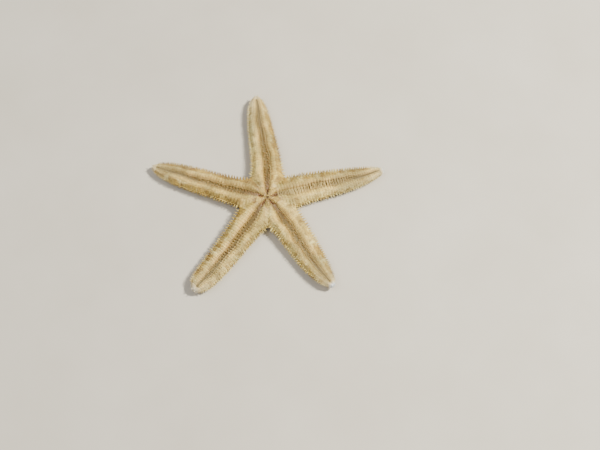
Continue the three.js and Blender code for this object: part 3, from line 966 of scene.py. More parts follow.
def margin_roots(arm, chance):
    """Evenly spaced roots across the margins, as s, across, the row in the plate, and side."""
    roots = []
    edges = np.append(plate_edges(arm), arm.length - np.array(TIP_PLATE_EDGES))
    for low, high in zip(edges, edges[1:]):
        for row, side in itertools.product(SHINGLE_ROWS, (1.0, -1.0)):
            s = mix(low, high, row)
            half = half_section(arm, np.array([s]), side)[0, :UPPER_COLUMNS]
            begin = SHINGLES_BEGIN_ON_TIP if s > arm.length - TERMINAL_LENGTH else SHINGLES_BEGIN
            first, last = np.interp([begin, UPPER_RIM], half[:, 2], half[:, 0])
            spacing = SHINGLE_SPACING * spine_scale(arm, np.array([s]))[0]
            y = np.arange(first + spacing * (0.25 + 0.5 * (row == 0.5)), last, spacing)
            across = np.interp(y, half[:, 0], half[:, 2])
            roots.append(np.stack([np.full(len(y), s), across, np.full(len(y), row), np.full(len(y), side)]))
    s, across, row, side = np.concatenate(roots, 1)
    return s + chance.normal(0, 0.03, len(s)), across + chance.normal(0, 0.04, len(s)), row, side


def grow_margin(arm):
    chance = np.random.default_rng(100 + arm.number)
    s, across, row, side = margin_roots(arm, chance)
    point, out, run, forward = on_skin(arm, s, across, side)
    scale = spine_scale(arm, s)
    on_cap = smooth(s, arm.length - TERMINAL_LENGTH, arm.length - 0.8 * TERMINAL_LENGTH)
    point = point + out * (CAP_GROWTH * on_cap)[:, None]
    outward = np.clip((across - 2.4) / 2.6, 0, 1)
    lift = np.radians(mix(28, 18, outward) + 9 * (row == 0.5) + chance.normal(0, 7, len(s)))[:, None]
    sway = chance.normal(0, 0.12, len(s))[:, None]
    axis = run * np.cos(lift) + out * np.sin(lift) + forward * (sway + 0.4 * (row[:, None] - 0.5))
    length = scale * mix(0.28, 0.46, outward) * (1 + 0.15 * (row == 0.5)) * chance.uniform(0.8, 1.15, len(s))
    width = scale * chance.uniform(0.17, 0.24, len(s))
    coat = Coat()
    coat.grow(
        point - out * ROOT_DEPTH, axis, forward, length, width, BLUNT_SPINE, 5, 0.55, -0.15 * out,
        map_for(s, across, side), **marks_for(arm, s, across, side, chance),
    )
    piece = coat.write(f"margin_spinelets_{arm.number}", COAT_FINISH, "skin")
    return piece, coat.spines


margin_spinelets = [grow_margin(arm) for arm in ARMS]
print("margin spinelets:", sum(count for _, count in margin_spinelets))

# %% [markdown]
# ## Spines that guard the furrow
#
# Along both sides of the furrow stands one row of narrow plates. Each carries slender spines in two rows,
# which lean in over the furrow like the teeth of combs, and behind them upright ones that make the pale
# crest, which is painted paler still as a highlight. When the star is alarmed the combs close. Here they are
# open on four arms. On the first they are nearly closed: the teeth reach across in bundles, one for each
# plate, and leave slots between them, on whose skin shade is painted dark.

# %% Roots in every plate
OUTER_COMB, COMB_PLACES = 1.22, [0.22, 0.5, 0.78]  # across, and along each plate
INNER_COMB, INNER_COMB_PLACES = 1.05, [0.1, 0.36, 0.64, 0.9]
CREST_ROWS = [1.52, 1.76, 2.0, 2.24]


def plate_roots(arm, places, across_rows, start=0):
    """Roots at every place in every plate, for each across value."""
    edges = plate_edges(arm)[start:]
    s = np.concatenate([mix(edges[:-1], edges[1:], place) for place in places])
    across = np.repeat(across_rows, len(s))
    return both_sides(np.tile(s, len(across_rows)), across)


def even_marks(arm, s, across, side, chance):
    """The comb's spines differ less from each other than those of the margins."""
    marks = marks_for(arm, s, across, side, chance)
    marks["own"] = mix(marks["own"], 0.55, 0.6)
    return marks


# %% Comb both edges of the furrow
def grow_outer_comb(arm, coat, chance):
    """The long teeth. Where the comb is closed, those of one plate are drawn together on the left."""
    s, across, side = plate_roots(arm, COMB_PLACES, [OUTER_COMB])
    middle_of_plate = plate_roots(arm, [0.5] * len(COMB_PLACES), [OUTER_COMB])[0]
    open_slots = slot_reach(arm, s)
    s = mix(s, middle_of_plate, 0.6 * open_slots * (side > 0))
    point, out, _, forward = on_skin(arm, s, across, side)
    _, _, left, up = walk(arm, s)
    scale = spine_scale(arm, s)
    inward = -left * side[:, None]
    lean = np.radians(chance.normal(mix(26, 68, closing(arm, s)), 8))[:, None]
    axis = up * np.cos(lean) + inward * np.sin(lean) + forward * chance.normal(0, 0.12, len(s))[:, None]
    reach = np.where(side > 0, 0.3, 1.2) * closing(arm, s) * sizes(arm, s).furrow
    length = (0.46 * scale + reach) * chance.uniform(0.88, 1.08, len(s))
    width = scale * chance.uniform(0.13, 0.17, len(s)) * (1 + 0.9 * (closing(arm, s) - open_slots))
    coat.grow(
        point - out * ROOT_DEPTH, axis, forward, length, width, BLUNT_SPINE, 5, 0.7, 0.2 * inward,
        map_for(s, across, side), **even_marks(arm, s, across - 0.1, side, chance),
    )


def grow_inner_comb(arm, coat, chance):
    """Shorter teeth, nearer the furrow."""
    s, across, side = plate_roots(arm, INNER_COMB_PLACES, [INNER_COMB])
    point, out, _, forward = on_skin(arm, s, across, side)
    scale = spine_scale(arm, s)
    _, _, left, up = walk(arm, s)
    inward = -left * side[:, None]
    lean = np.radians(chance.normal(38, 8, len(s)))[:, None]
    axis = up * np.cos(lean) + inward * np.sin(lean)
    axis = axis + forward * chance.normal(0, 0.12, len(s))[:, None]
    width = scale * chance.uniform(0.17, 0.22, len(s)) * (1 - 0.4 * closing(arm, s))
    coat.grow(
        point - out * ROOT_DEPTH, axis, forward, 0.42 * scale, width, BLUNT_SPINE, 5, 0.7, 0.2 * inward,
        map_for(s, across, side), **even_marks(arm, s, across - 0.2, side, chance),
    )


def grow_crest(arm, coat, chance):
    """Upright spines behind the combs, paler than their neighbours, partly as a painted highlight on the
    crest.
    """
    s, across, side = plate_roots(arm, COMB_PLACES, CREST_ROWS)
    s = s + chance.normal(0, 0.03, len(s))
    point, out, run, forward = on_skin(arm, s, across, side)
    scale = spine_scale(arm, s)
    axis = out + run * (0.25 * (across - 1.9) + chance.normal(0, 0.16, len(s)))[:, None]
    axis = axis + forward * chance.normal(0, 0.14, len(s))[:, None]
    length = scale * chance.uniform(0.3, 0.42, len(s))
    width = scale * chance.uniform(0.17, 0.22, len(s))
    marks = marks_for(arm, s, across, side, chance)
    # painted highlight: crest spines are pushed towards the palest tone, beyond their own paleness
    marks["own"] = mix(marks["own"], 1.0, smooth(across, 1.5, 2.1) * 0.5)
    coat.grow(
        point - out * ROOT_DEPTH, axis, forward, length, width, BLUNT_SPINE, 5, 0.85, None,
        map_for(s, across, side), **marks,
    )


def grow_comb(arm):
    chance = np.random.default_rng(200 + arm.number)
    coat = Coat()
    for grow_rows in (grow_outer_comb, grow_inner_comb, grow_crest):
        grow_rows(arm, coat, chance)
    return coat.write(f"furrow_comb_{arm.number}", COAT_FINISH, "skin"), coat.spines


furrow_combs = [grow_comb(arm) for arm in ARMS]
print("furrow and crest spines:", sum(count for _, count in furrow_combs))

# %% [markdown]
# ## The fringe
#
# The spines that give a sand star its saw edge grow from the side wall, one long flat one from each
# plate with smaller ones above and below it. Their tips are the widest part of the arm, so each is aimed
# at the same tip point as the solids' fringe, and neighbours on the web between two arms stay apart.

# %% Set the fringe along the walls
SHARP_SPINE = [(0, 0.9), (0.3, 1.0), (0.65, 0.72), (0.9, 0.34)]
SPINE_LEAN = 0.25
SPINE_CLEARANCE = 0.1
FRINGE_ROOT_DEPTH = 0.04
SMALLER_SPINE_SHIFT = 0.22  # along the arm, from the long spine of the plate
FRINGE_ROWS = [  # across at the root, share of the full length, height of the tip and width
    (5.35, 1.0, 0.58, 0.36),
    (5.0, 0.62, 0.76, 0.26),
    (6.2, 0.6, 0.36, 0.26),
    (6.7, 0.42, 0.24, 0.22),
]


def grow_fringe(arm):
    chance = np.random.default_rng(300 + arm.number)
    coat = Coat()
    for root_across, share_of_length, height, width in FRINGE_ROWS:
        s, across, side = plate_roots(arm, [0.5], [root_across], start=DISC_PLATES)
        s = s + (0 if share_of_length == 1 else SMALLER_SPINE_SHIFT) + chance.normal(0, 0.03, len(s))
        point, out, _, forward = on_skin(arm, s, across, side)
        size = sizes(arm, s)
        tip_s = s + (SPINE_LEAN + chance.normal(0, 0.16, len(s))) * size.fringe
        origin, _, left, up = walk(arm, tip_s)
        reach = size.rim - 0.1 + (size.fringe + 0.1) * share_of_length * chance.uniform(0.7, 1.0, len(s))
        y = np.minimum(reach, s * SLOPE - SPINE_CLEARANCE) * side
        z = (height + chance.normal(0, 0.02, len(s))) * size.top
        tip = origin + y[:, None] * left + z[:, None] * up
        axis = tip - point
        length = np.linalg.norm(axis, axis=-1)
        scale = spine_scale(arm, s)
        flat = chance.uniform(0.45, 0.6, len(s))
        coat.grow(
            point - out * FRINGE_ROOT_DEPTH, axis, forward, length, width * scale, SHARP_SPINE, 6, flat, None,
            map_for(s, across, side), **marks_for(arm, s, np.full(len(s), 4.0), side, chance),
        )
    return coat.write(f"fringe_{arm.number}", COAT_FINISH, "skin"), coat.spines


fringes = [grow_fringe(arm) for arm in ARMS]
print("fringe spines:", sum(count for _, count in fringes))

# %% [markdown]
# ## Scales of the side wall
#
# Between the fringe and the back a second row of margin plates makes the wall. It is covered in low round
# granules, hardly higher than wide. They are the same solid as a spine, only short.

# %% Cover the side walls
GRANULE = [(0, 1.0), (0.62, 0.85)]
WALL_PLACES = [0.14, 0.38, 0.62, 0.86]
WALL_ROWS = [5.15, 5.5, 5.85, 6.2, 6.55, 6.9, 7.12]


def grow_wall(arm):
    chance = np.random.default_rng(400 + arm.number)
    s, across, side = plate_roots(arm, WALL_PLACES, WALL_ROWS, start=DISC_PLATES)
    s = s + chance.normal(0, 0.03, len(s))
    across = across + chance.normal(0, 0.05, len(s))
    point, out, run, forward = on_skin(arm, s, across, side)
    scale = spine_scale(arm, s)
    sway, pitch = chance.normal(0, 0.2, (2, len(s), 1))
    axis = out + run * sway + forward * pitch
    length = scale * chance.uniform(0.11, 0.19, len(s))
    width = scale * chance.uniform(0.17, 0.23, len(s))
    coat = Coat()
    coat.grow(
        point - out * ROOT_DEPTH, axis, forward, length, width, GRANULE, 5, 1.0, None,
        map_for(s, across, side), **marks_for(arm, s, across, side, chance),
    )
    return coat.write(f"wall_granules_{arm.number}", COAT_FINISH, "skin"), coat.spines


wall_granules = [grow_wall(arm) for arm in ARMS]
print("wall granules:", sum(count for _, count in wall_granules))

# %% [markdown]
# ## Tube feet
#
# Two rows of soft feet stand in each furrow, a pair for each pair of plates. A sand star's feet have no
# suckers, as they push into sand and don't need to grip. Here they are drawn in to low knobs, and the
# soft lining of the furrow rises in folds between them. More feet fill the gaps between the jaws, where
# they are pinker. All of this is damp, so light passes through it more than through the chalky spines.

# %% Finish of the feet
FOOT_PLACE = 0.5  # across


def foot_material():
    material, n, shader, place = start_material("tube_feet")
    tones = [(0.0, srgb(180, 151, 98)), (0.6, srgb(158, 132, 82)), (1.0, srgb(150, 125, 77))]
    colour = n.ramp(n.value("rise"), tones)
    patch = n.span(n.noise(place, 330.0, 2.0), 0.45, 0.7)
    colour = n.mix(n.times(patch, 0.4), colour, srgb(140, 108, 62))
    colour = n.mix(n.span(n.value("across"), FOOT_PLACE, 0.0, 0.0, 0.85), colour, MOUTH_PINK)
    warm = [(0.0, srgb(216, 207, 178)), (0.25, srgb(250, 248, 232)), (0.6, srgb(250, 252, 255))]
    colour = n.mix(1.0, colour, n.ramp(n.value("along"), warm), "MULTIPLY")
    n.set(shader, "Base Color", colour)
    n.set(shader, "Roughness", n.span(n.noise(place, 1500.0), 0.3, 0.7, 0.55, 0.75))
    bumps(n, shader, place, 6000.0, 0.3, 0.00003)
    soften(shader, 0.6, 0.0011)
    return material


FOOT_FINISH = foot_material()
print("finish:", FOOT_FINISH.name)

# %% Fold the lining of the furrow
SOFT_FOLD = [(0, 1.0), (0.5, 1.0), (0.76, 0.93), (0.9, 0.78), (0.97, 0.52)]
FOLD_HEIGHT = 0.66  # as a share of the furrow's depth
FOLD_PLACES = [0.0, 0.25, 0.5, 0.75]
FOOT_ROOT_DEPTH = 0.06
MOST_SLOT = 0.35  # past this the folds are drawn in, and the slots look down on bare skin
PINK_REACH = 8.0  # from the centre to where feet and folds have lost their pink


def pinker(across, s):
    """across as the finish reads it: it falls to 0 towards the mouth, and so turns pink."""
    return across * smooth(s, 0.0, PINK_REACH)


def grow_folds(arm, coat, chance):
    """Soft folds that lie across the furrow, between the feet, and fade out where the comb has slots."""
    edges = plate_edges(arm)
    s = np.concatenate([mix(edges[:-1], edges[1:], place) for place in FOLD_PLACES])
    s = s[slot_reach(arm, s) < MOST_SLOT]
    side = np.ones(len(s))
    size = sizes(arm, s)
    point = on_skin(arm, s, 0 * s, side)[0]
    _, forward, _, up = walk(arm, s)
    pitch = np.interp(s, edges[:-1], np.diff(edges))
    height = FOLD_HEIGHT * (1 - slot_reach(arm, s)) * size.depth * chance.uniform(0.96, 1.02, len(s))
    marks = marks_for(arm, s, pinker(FOOT_PLACE, s), side, chance)
    flat = 2.2 * size.furrow / pitch
    coat.grow(
        point - up * FOOT_ROOT_DEPTH, up, forward, height, 0.9 * pitch, SOFT_FOLD, 10, flat, None,
        map_for(s, 0 * s, side), **marks,
    )


# %% Stand the feet in the furrow
SOFT_FOOT = [
    (0, 1.0), (0.28, 0.96), (0.4, 1.0), (0.52, 0.9),
    (0.64, 0.9), (0.77, 0.76), (0.88, 0.58), (0.96, 0.3),
]
FOOT_HEIGHT = 0.73  # as a share of the furrow's depth
MOUTH_FEET = [0.14, 0.45, 0.8, 1.2, 1.6, 2.0, 2.4, 2.8]  # from the centre to the feet between the jaws
MOUTH_FOOT_ROOT = RECESS - 0.2


def grow_mouth_feet(arm, coat, chance):
    """Feet in the gaps between the jaws."""
    s, across, side = both_sides(np.array(MOUTH_FEET), np.full(len(MOUTH_FEET), FOOT_PLACE))
    origin, forward, left, up = walk(arm, s)
    root = origin + left * (0.15 * s * side)[:, None] + up * MOUTH_FOOT_ROOT
    axis = up + forward * chance.normal(-0.1, 0.08, len(s))[:, None]
    width = (0.26 + 0.14 * s) * chance.uniform(0.92, 1.08, len(s))
    marks = marks_for(arm, s, pinker(across, s), side, chance)
    coat.grow(
        root, axis, forward, 1.35 + 0.06 * s, width, SOFT_FOOT, 10, 1.0, None,
        map_for(s, across, side), **marks,
    )


def grow_feet(arm):
    chance = np.random.default_rng(500 + arm.number)
    s, across, side = plate_roots(arm, [0.5], [FOOT_PLACE])
    s = s + chance.normal(0, 0.04, len(s))
    size = sizes(arm, s)
    point, _, _, forward = on_skin(arm, s, across, side)
    _, _, left, up = walk(arm, s)
    axis = up + left * (side * chance.normal(0.1, 0.12, len(s)))[:, None]
    axis = axis + forward * chance.normal(0, 0.15, len(s))[:, None]
    edges = plate_edges(arm)
    pitch = np.interp(s, edges[:-1], np.diff(edges))
    length = (FOOT_HEIGHT - 0.25 * arm.closed) * size.depth * chance.uniform(0.92, 1.04, len(s))
    width = pitch * chance.uniform(0.86, 0.98, len(s))
    flat = 0.84 * size.furrow / pitch
    bend = left * (side * chance.normal(-0.1, 0.15, len(s)))[:, None]
    coat = Coat()
    marks = marks_for(arm, s, pinker(across, s), side, chance)
    coat.grow(
        point - up * FOOT_ROOT_DEPTH, axis, forward, length, width, SOFT_FOOT, 10, flat, bend,
        map_for(s, across, side), **marks,
    )
    grow_folds(arm, coat, chance)
    grow_mouth_feet(arm, coat, chance)
    return coat.write(f"tube_feet_{arm.number}", FOOT_FINISH, "skin"), coat.spines


tube_feet = [grow_feet(arm) for arm in ARMS]
print("tube feet and folds:", sum(count for _, count in tube_feet))

# %% [markdown]
# ## Paxillae of the back
#
# The back, which faces the floor here, is paved with paxillae: little pillars crowned by a ring of short
# spinelets round a granule, so close that their crowns touch. Water is drawn under the crowns while the
# star is buried. They're set on a grid of staggered rows that keeps its pitch from disc to tip.

# %% Find the pillars' places
PAXILLA_PITCH = 0.62  # from crown to crown
MOST_STEPS = 40  # more than fit from the middle to the rim
SIEVE_REACH, SIEVE_RADIUS = 5.2, 0.8
SIEVE_ANGLE = ARMS[2].direction + SECTOR / 2


def back_roots(arm, chance):
    """Staggered rows across the back, clear of the sieve plate, as s and signed y."""
    rows = np.arange(0.5, arm.length - 0.5, PAXILLA_PITCH * math.sqrt(3) / 2)
    s_all, y_all = [], []
    for number, s in enumerate(rows):
        half = half_section(arm, np.array([s]))[0]
        reach = np.interp(LOWER_RIM, half[:, 2], half[:, 0]) - 0.12
        reach = min(reach, s * SLOPE - 0.3 * PAXILLA_PITCH)
        offset = (number % 2) / 2
        steps = np.arange(-MOST_STEPS, MOST_STEPS + 1) + offset
        y = steps[np.abs(steps * PAXILLA_PITCH) < reach] * PAXILLA_PITCH
        s_all.append(np.full(len(y), s))
        y_all.append(y)
    s, y = np.concatenate(s_all), np.concatenate(y_all)
    s = s + chance.normal(0, 0.05, len(s))
    origin, _, left, _ = walk(arm, s)
    spot = origin + y[:, None] * left
    sieve = SIEVE_REACH * np.array([math.cos(SIEVE_ANGLE), math.sin(SIEVE_ANGLE)])
    clear = np.linalg.norm(spot[:, :2] - sieve, axis=-1) > SIEVE_RADIUS + 0.25
    return s[clear], y[clear]


# %% Pave the back
PILLAR = [(0, 1.0), (0.98, 1.5)]
CROWN_SPINELETS = 8
CROWN_SPINELET = [(0, 1.0), (0.7, 1.0)]
CROWN_GRANULE = [(0, 1.0), (0.6, 0.8)]
PILLAR_HEIGHT, PILLAR_ROOT_DEPTH = 0.2, 0.05


def grow_paxillae(arm):
    chance = np.random.default_rng(600 + arm.number)
    s, y = back_roots(arm, chance)
    side = np.where(y >= 0, 1.0, -1.0)
    half = half_section(arm, s)
    lower = half[:, WALL_COLUMNS - 1 :]
    across = np.array([np.interp(abs(v), row[::-1, 0], row[::-1, 2]) for v, row in zip(y, lower)])
    point, out, run, forward = on_skin(arm, s, across, side)
    size = sizes(arm, s)
    scale = np.clip(size.rim / 3.0, 0.45, 1.0) * chance.uniform(0.92, 1.08, len(s))
    stand = PILLAR_HEIGHT * np.clip(size.top / 2.5, 0.4, 1.0)
    marks = marks_for(arm, s, across, side, chance)
    place = map_for(s, across, side)
    coat = Coat()
    coat.grow(
        point - out * PILLAR_ROOT_DEPTH, out, forward, stand + PILLAR_ROOT_DEPTH, 0.2 * scale,
        PILLAR, 5, 1.0, None, place, **marks,
    )
    top = point + out * stand[:, None]
    turns = chance.uniform(0, 2 * math.pi, len(s))
    for k in range(CROWN_SPINELETS):
        angle = (turns + k * 2 * math.pi / CROWN_SPINELETS)[:, None]
        around = forward * np.cos(angle) + run * np.sin(angle)
        rim = top + around * (0.09 * scale)[:, None] - out * 0.03
        coat.grow(
            rim, around + out * 0.32, np.cross(around, out), 0.21 * scale, 0.1 * scale,
            CROWN_SPINELET, 4, 0.7, None, place, **marks,
        )
    coat.grow(
        top - out * 0.04, out, forward, 0.12 * scale, 0.2 * scale,
        CROWN_GRANULE, 5, 1.0, None, place, **marks,
    )
    return coat.write(f"paxillae_{arm.number}", COAT_FINISH, "skin"), len(s)


paxillae = [grow_paxillae(arm) for arm in ARMS]
print("paxillae:", sum(count for _, count in paxillae))

# %% [markdown]
# ## Jaws
#
# Five jaws stand round the mouth, each a pair of plates joined by a suture and set between two furrows.
# They aren't soft, so they stay pieces of their own. Each is a low dome over a kite-shaped outline, drawn
# as a grid that runs from the jaw's point to its back, with the suture pressed in along the middle.

# %% Outline and top of a jaw
JAW_TIP, JAW_NECK, JAW_BACK = 0.6, 1.258, 2.818  # from the centre of the star
JAW_END = MOUTH_REACH / math.cos(SECTOR / 2) - 0.08
NECK_WIDTH, BACK_WIDTH = 0.4, 1.16  # half widths there
JAW_TOP, JAW_FALL = 4.2, 0.36
SUTURE_DEPTH, SUTURE_WIDTH = 0.16, 0.07


def jaw_half_width(r):
    """Half the jaw's width at r from the centre of the star."""
    width = np.interp(r, [JAW_TIP, JAW_NECK, JAW_BACK, JAW_END], [0.0, NECK_WIDTH, BACK_WIDTH, 0.0])
    rounding = 0.06 * np.sin(np.clip((r - JAW_TIP) / (JAW_END - JAW_TIP), 0, 1) * math.pi)
    return np.maximum(width - rounding, 0.02)


def jaw_surface(r, t):
    """Height of the jaw's top at r from the centre and t across, from -1 to 1."""
    crown = JAW_TOP - JAW_FALL * (1 - r / JAW_END)
    point = 1 - smooth(r, JAW_TIP, JAW_TIP + 0.5)
    back = smooth(r, JAW_BACK - 0.5, JAW_BACK)
    edge = 0.75 * np.abs(t) ** 3.5 * (1 - point) * (1 - back)
    groove = np.exp(-((t * jaw_half_width(r) / SUTURE_WIDTH) ** 2))
    suture = SUTURE_DEPTH * groove * smooth(r, 0.9, 1.4)
    return crown - edge - 0.4 * point - suture * (1 - back)


def jaw_place(index, r, y, z):
    """A point of the jaw on the anticlockwise side of the arm with this index."""
    turn = ARMS[index].direction + SECTOR / 2
    return np.stack([r * math.cos(turn) - y * math.sin(turn), r * math.sin(turn) + y * math.cos(turn), z], -1)


# %% Model the jaws
JAW_ROWS, JAW_COLUMNS = 40, 25
JAW_FOOT = RECESS - 0.15  # sunk in the mouth's floor


def build_jaw(index):
    r = JAW_TIP + (JAW_END - JAW_TIP) * np.linspace(0, 1, JAW_ROWS)[:, None]
    t = np.linspace(-1, 1, JAW_COLUMNS)[None]
    y = jaw_half_width(r) * np.sin(t * math.pi / 2)
    top = jaw_surface(r, np.sin(t * math.pi / 2))
    foot = np.full_like(top, JAW_FOOT)
    r = np.broadcast_to(r, y.shape)
    points = np.concatenate([jaw_place(index, r, y, z).reshape(-1, 3) for z in (top, foot)])
    number = np.arange(r.size).reshape(r.shape)
    quads = np.stack([number[:-1, :-1], number[1:, :-1], number[1:, 1:], number[:-1, 1:]], -1).reshape(-1, 4)
    rim = np.concatenate([number[0, :-1], number[:-1, -1], number[-1, :0:-1], number[:0:-1, 0]])
    after = np.roll(rim, -1)
    sides = np.stack([rim, after, after + r.size, rim + r.size], -1)
    faces = np.concatenate([quads, sides, quads[:, ::-1] + r.size])
    place = np.stack([(r - JAW_TIP) / 3, 0.5 + y / 3], -1).reshape(-1, 2)
    maps = np.concatenate([place, place * [1, 0.5]])[faces]
    across = 1.9 - 0.3 * np.abs(np.sin(t * math.pi / 2)) + 0 * r
    marks = {"across": np.tile(across.ravel(), 2), "along": 0.0, "stain": 0.1}
    marks["mouth"] = 0.7 * (1 - smooth(np.tile(r.ravel(), 2), 0.9, 2.2))
    # the suture takes the joints' brown and painted shade
    marks["joint"] = np.tile((np.abs(y) < 0.09).ravel() * 0.5, 2)
    piece = write_mesh(f"jaw_plates_{index + 1}", points, [faces], [maps], marks, SKIN_FINISH)
    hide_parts(f"jaw_{index + 1}")
    return piece


jaws = [build_jaw(index) for index in range(ARM_COUNT)]
print("jaws:", len(jaws), "with", len(jaws[0].data.polygons), "faces each")

# %% [markdown]
# ## Spines of the jaws
#
# The jaws carry the same blunt spines as the crests. On their faces these stand in two rows beside the
# suture and in more rows behind, and along their edges and at their points they lean in over the furrows
# and the mouth, where the star uses them to hold its prey.

# %% Dress the jaws
JAW_SPACING = 0.22


def jaw_spots():
    """Places (r, t) over one jaw, with how far each leans in over the edge."""
    rims = np.arange(JAW_TIP + 0.2, JAW_BACK, 0.6 * JAW_SPACING)
    spots = [(r, t, 0.6) for r in rims for t in (-0.97, 0.97)]
    for r in np.arange(JAW_TIP + 0.12, JAW_END - 0.1, JAW_SPACING):
        width = float(jaw_half_width(r))
        count = max(1, round(width / JAW_SPACING))
        for step in range(count):
            t = (step + 0.62) / (count + 0.1) if count > 1 else 0.6
            edge = 1.0 if step == count - 1 else 0.0
            spots += [(r, t, edge), (r, -t, edge)]
    return np.array(spots)


def grow_jaw_spines():
    chance = np.random.default_rng(700)
    coat = Coat()
    for index in range(ARM_COUNT):
        r, t, edge = jaw_spots().T
        r = r + chance.normal(0, 0.03, len(r))
        t = np.clip(t + chance.normal(0, 0.03, len(t)), -0.97, 0.97)
        y = t * jaw_half_width(r)
        point = jaw_place(index, r, y, jaw_surface(r, t) - 0.03)
        side = np.sign(t)
        lean_in = edge * chance.uniform(0.25, 0.6, len(r)) * side
        to_mouth = 0.55 * (1 - smooth(r, 0.7, 1.5)) - 0.25 * smooth(r, 2.0, 3.2)
        r_part = -to_mouth + chance.normal(0, 0.1, len(r))
        axis = jaw_place(index, r_part, lean_in + chance.normal(0, 0.12, len(r)), np.ones(len(r)))
        broad = jaw_place(index, np.ones(len(r)), np.zeros(len(r)), np.zeros(len(r)))
        length = mix(0.28, 0.46, edge) * mix(1.45, 1.0, smooth(r, 0.7, 1.6))
        length = length * chance.uniform(0.85, 1.15, len(r))
        width = chance.uniform(0.15, 0.2, len(r))
        place = np.stack([(index + 0.05 + 0.9 * (r - JAW_TIP) / 3.1) / ARM_COUNT, 0.5 + 0.4 * t], -1)
        own = chance.random(len(r))
        coat.grow(
            point, axis, broad, length, width, BLUNT_SPINE, 6, 0.8, None, place,
            across=2.0 - 0.2 * np.abs(t), along=0.0, stain=0.0, own=own,
        )
    return coat.write("jaw_spines", COAT_FINISH, "skin"), coat.spines


jaw_spines, jaw_spine_count = grow_jaw_spines()
print("jaw spines:", jaw_spine_count)

# %% [markdown]
# ## Plates at the tips
#
# Each arm ends in a plate of its own, where the furrow runs out. Spinelets cover its top, and a few small
# spines point on past it. It is the first plate that the young star had, pushed outward as the arm grew.
# The plate follows the skin's own section, drawn a little larger, so it closes the arm like a cap.

# %% Finish of the caps
def cap_material():
    material, n, shader, place = start_material("smooth_tip_plate")
    cream = n.ramp(n.noise(place, 900.0), [(0.3, srgb(186, 166, 122)), (0.7, srgb(212, 196, 156))])
    white = n.ramp(n.noise(place, 1200.0), [(0.3, srgb(190, 198, 212)), (0.7, srgb(226, 229, 230))])
    n.set(shader, "Base Color", n.mix(n.value("own"), cream, white))
    n.set(shader, "Roughness", n.span(n.noise(place, 1600.0), 0.3, 0.7, 0.45, 0.65))
    bumps(n, shader, place, 4200.0, 0.5, 0.00006)
    soften(shader, 0.2, 0.0006)
    return material


CAP_FINISH = cap_material()
print("finish:", CAP_FINISH.name)

# %% Cap the arms
CAP_ROWS = 14
CAP_BEGIN, CAP_END = 0.08, 0.04  # from the terminal plate's base and from the arm's tip


def cap_halves(arm, s):
    """The skin's section drawn larger, for the left and the right."""
    grown = []
    swell = CAP_GROWTH * smooth(s, arm.length - TERMINAL_LENGTH - 0.1, arm.length - 0.7 * TERMINAL_LENGTH)
    for side in (1.0, -1.0):
        half = half_section(arm, s, side)
        half[..., :2] += section_normals(half) * swell[:, None, None]
        half[:, -1, 0] = 0
        grown.append(half)
    return grown


def build_cap(arm):
    t = 1 - (1 - np.linspace(0, 1, CAP_ROWS)) ** 1.7
    s = mix(arm.length - TERMINAL_LENGTH + CAP_BEGIN, arm.length - CAP_END, t)
    body, loops = place_loops(arm, s, *cap_halves(arm, s))
    rows, loop = body.shape[:2]
    number = np.arange(rows * loop).reshape(rows, loop)
    around = np.roll(number, -1, 1)
    quads = np.stack([number[:-1], number[1:], around[1:], around[:-1]], -1).reshape(-1, 4)
    place = np.stack(np.broadcast_arrays((s[:, None] - s[0]) / 2 + 0.05, np.arange(loop) / loop), -1)
    maps = place.reshape(-1, 2)
    points = body.reshape(-1, 3)
    faces = [quads, number[-1][None], number[0][None, ::-1]]
    shape_maps = [maps[face] for face in faces]
    paleness = PALENESS[arm.number - 1] * smooth(s, s[0] + 0.2, s[-1] - 0.1)
    marks = {"across": loops[..., 2].ravel(), "along": 1.0, "own": np.repeat(paleness, loop)}
    name = f"tip_plate_{arm.number}"
    piece = write_mesh(name, points, faces, shape_maps, marks, CAP_FINISH)
    weld(piece)
    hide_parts(f"tip_{arm.number}")
    return piece


tip_plates = [build_cap(arm) for arm in ARMS]
print("tip plates:", len(tip_plates), "with", len(tip_plates[0].data.polygons), "faces each")

# %% Set the tip spines
TERMINAL_SPINE = 0.45
TIP_SPINES = [  # share of the width, root's share of the plate, length past the tip, share of the height
    (0.5, 0.25, 1.0, 0.9),
    (-0.5, 0.25, 1.0, 0.9),
    (0.95, 0.75, -0.6, 0.6),
    (-0.95, 0.75, -0.6, 0.6),
    (0.8, 0.5, 0.2, 0.35),
    (-0.8, 0.5, 0.2, 0.35),
]


def grow_tip_spines():
    """Two spines beyond each tip, and smaller ones round its edge."""
    coat = Coat()
    chance = np.random.default_rng(800)
    share_out, back, beyond, height = np.array(TIP_SPINES).T
    count = len(TIP_SPINES)
    for index, arm in enumerate(ARMS):
        root_s = arm.length - back * TERMINAL_LENGTH
        tip_s = arm.length + beyond * TERMINAL_SPINE
        size = sizes(arm, root_s)
        root_origin, _, left, up = walk(arm, root_s)
        tip_origin = walk(arm, tip_s)[0]
        y = share_out * size.rim
        reach = sizes(arm, np.full(count, arm.length - 0.2 * TERMINAL_LENGTH)).rim
        root = root_origin + (0.8 * y)[:, None] * left + (height * size.top * 0.85)[:, None] * up
        tip = tip_origin + (share_out * (reach + 0.1))[:, None] * left
        tip = tip + (height * size.top * 0.95)[:, None] * up
        place = np.stack([np.full(count, (index + 0.5) / ARM_COUNT), 0.5 + 0.3 * share_out], -1)
        length = np.linalg.norm(tip - root, axis=-1)
        width = chance.uniform(0.28, 0.34, count)
        coat.grow(
            root, tip - root, left, length, width, SHARP_SPINE, 8, 0.85, None, place,
            across=3.0, along=1.0, stain=0.0, own=np.full(count, PALENESS[index]),
        )
    return coat.write("tip_spines", CAP_FINISH, "terminal_plate"), coat.spines


tip_spines, tip_spine_count = grow_tip_spines()
print("tip spines:", tip_spine_count)

# %% [markdown]
# ## Sieve plate
#
# On the back, between two arms, lies the madreporite, a round plate with fine wandering grooves through
# which the star takes in water. It's a disc on a polar grid, with the grooves pressed in by a formula.

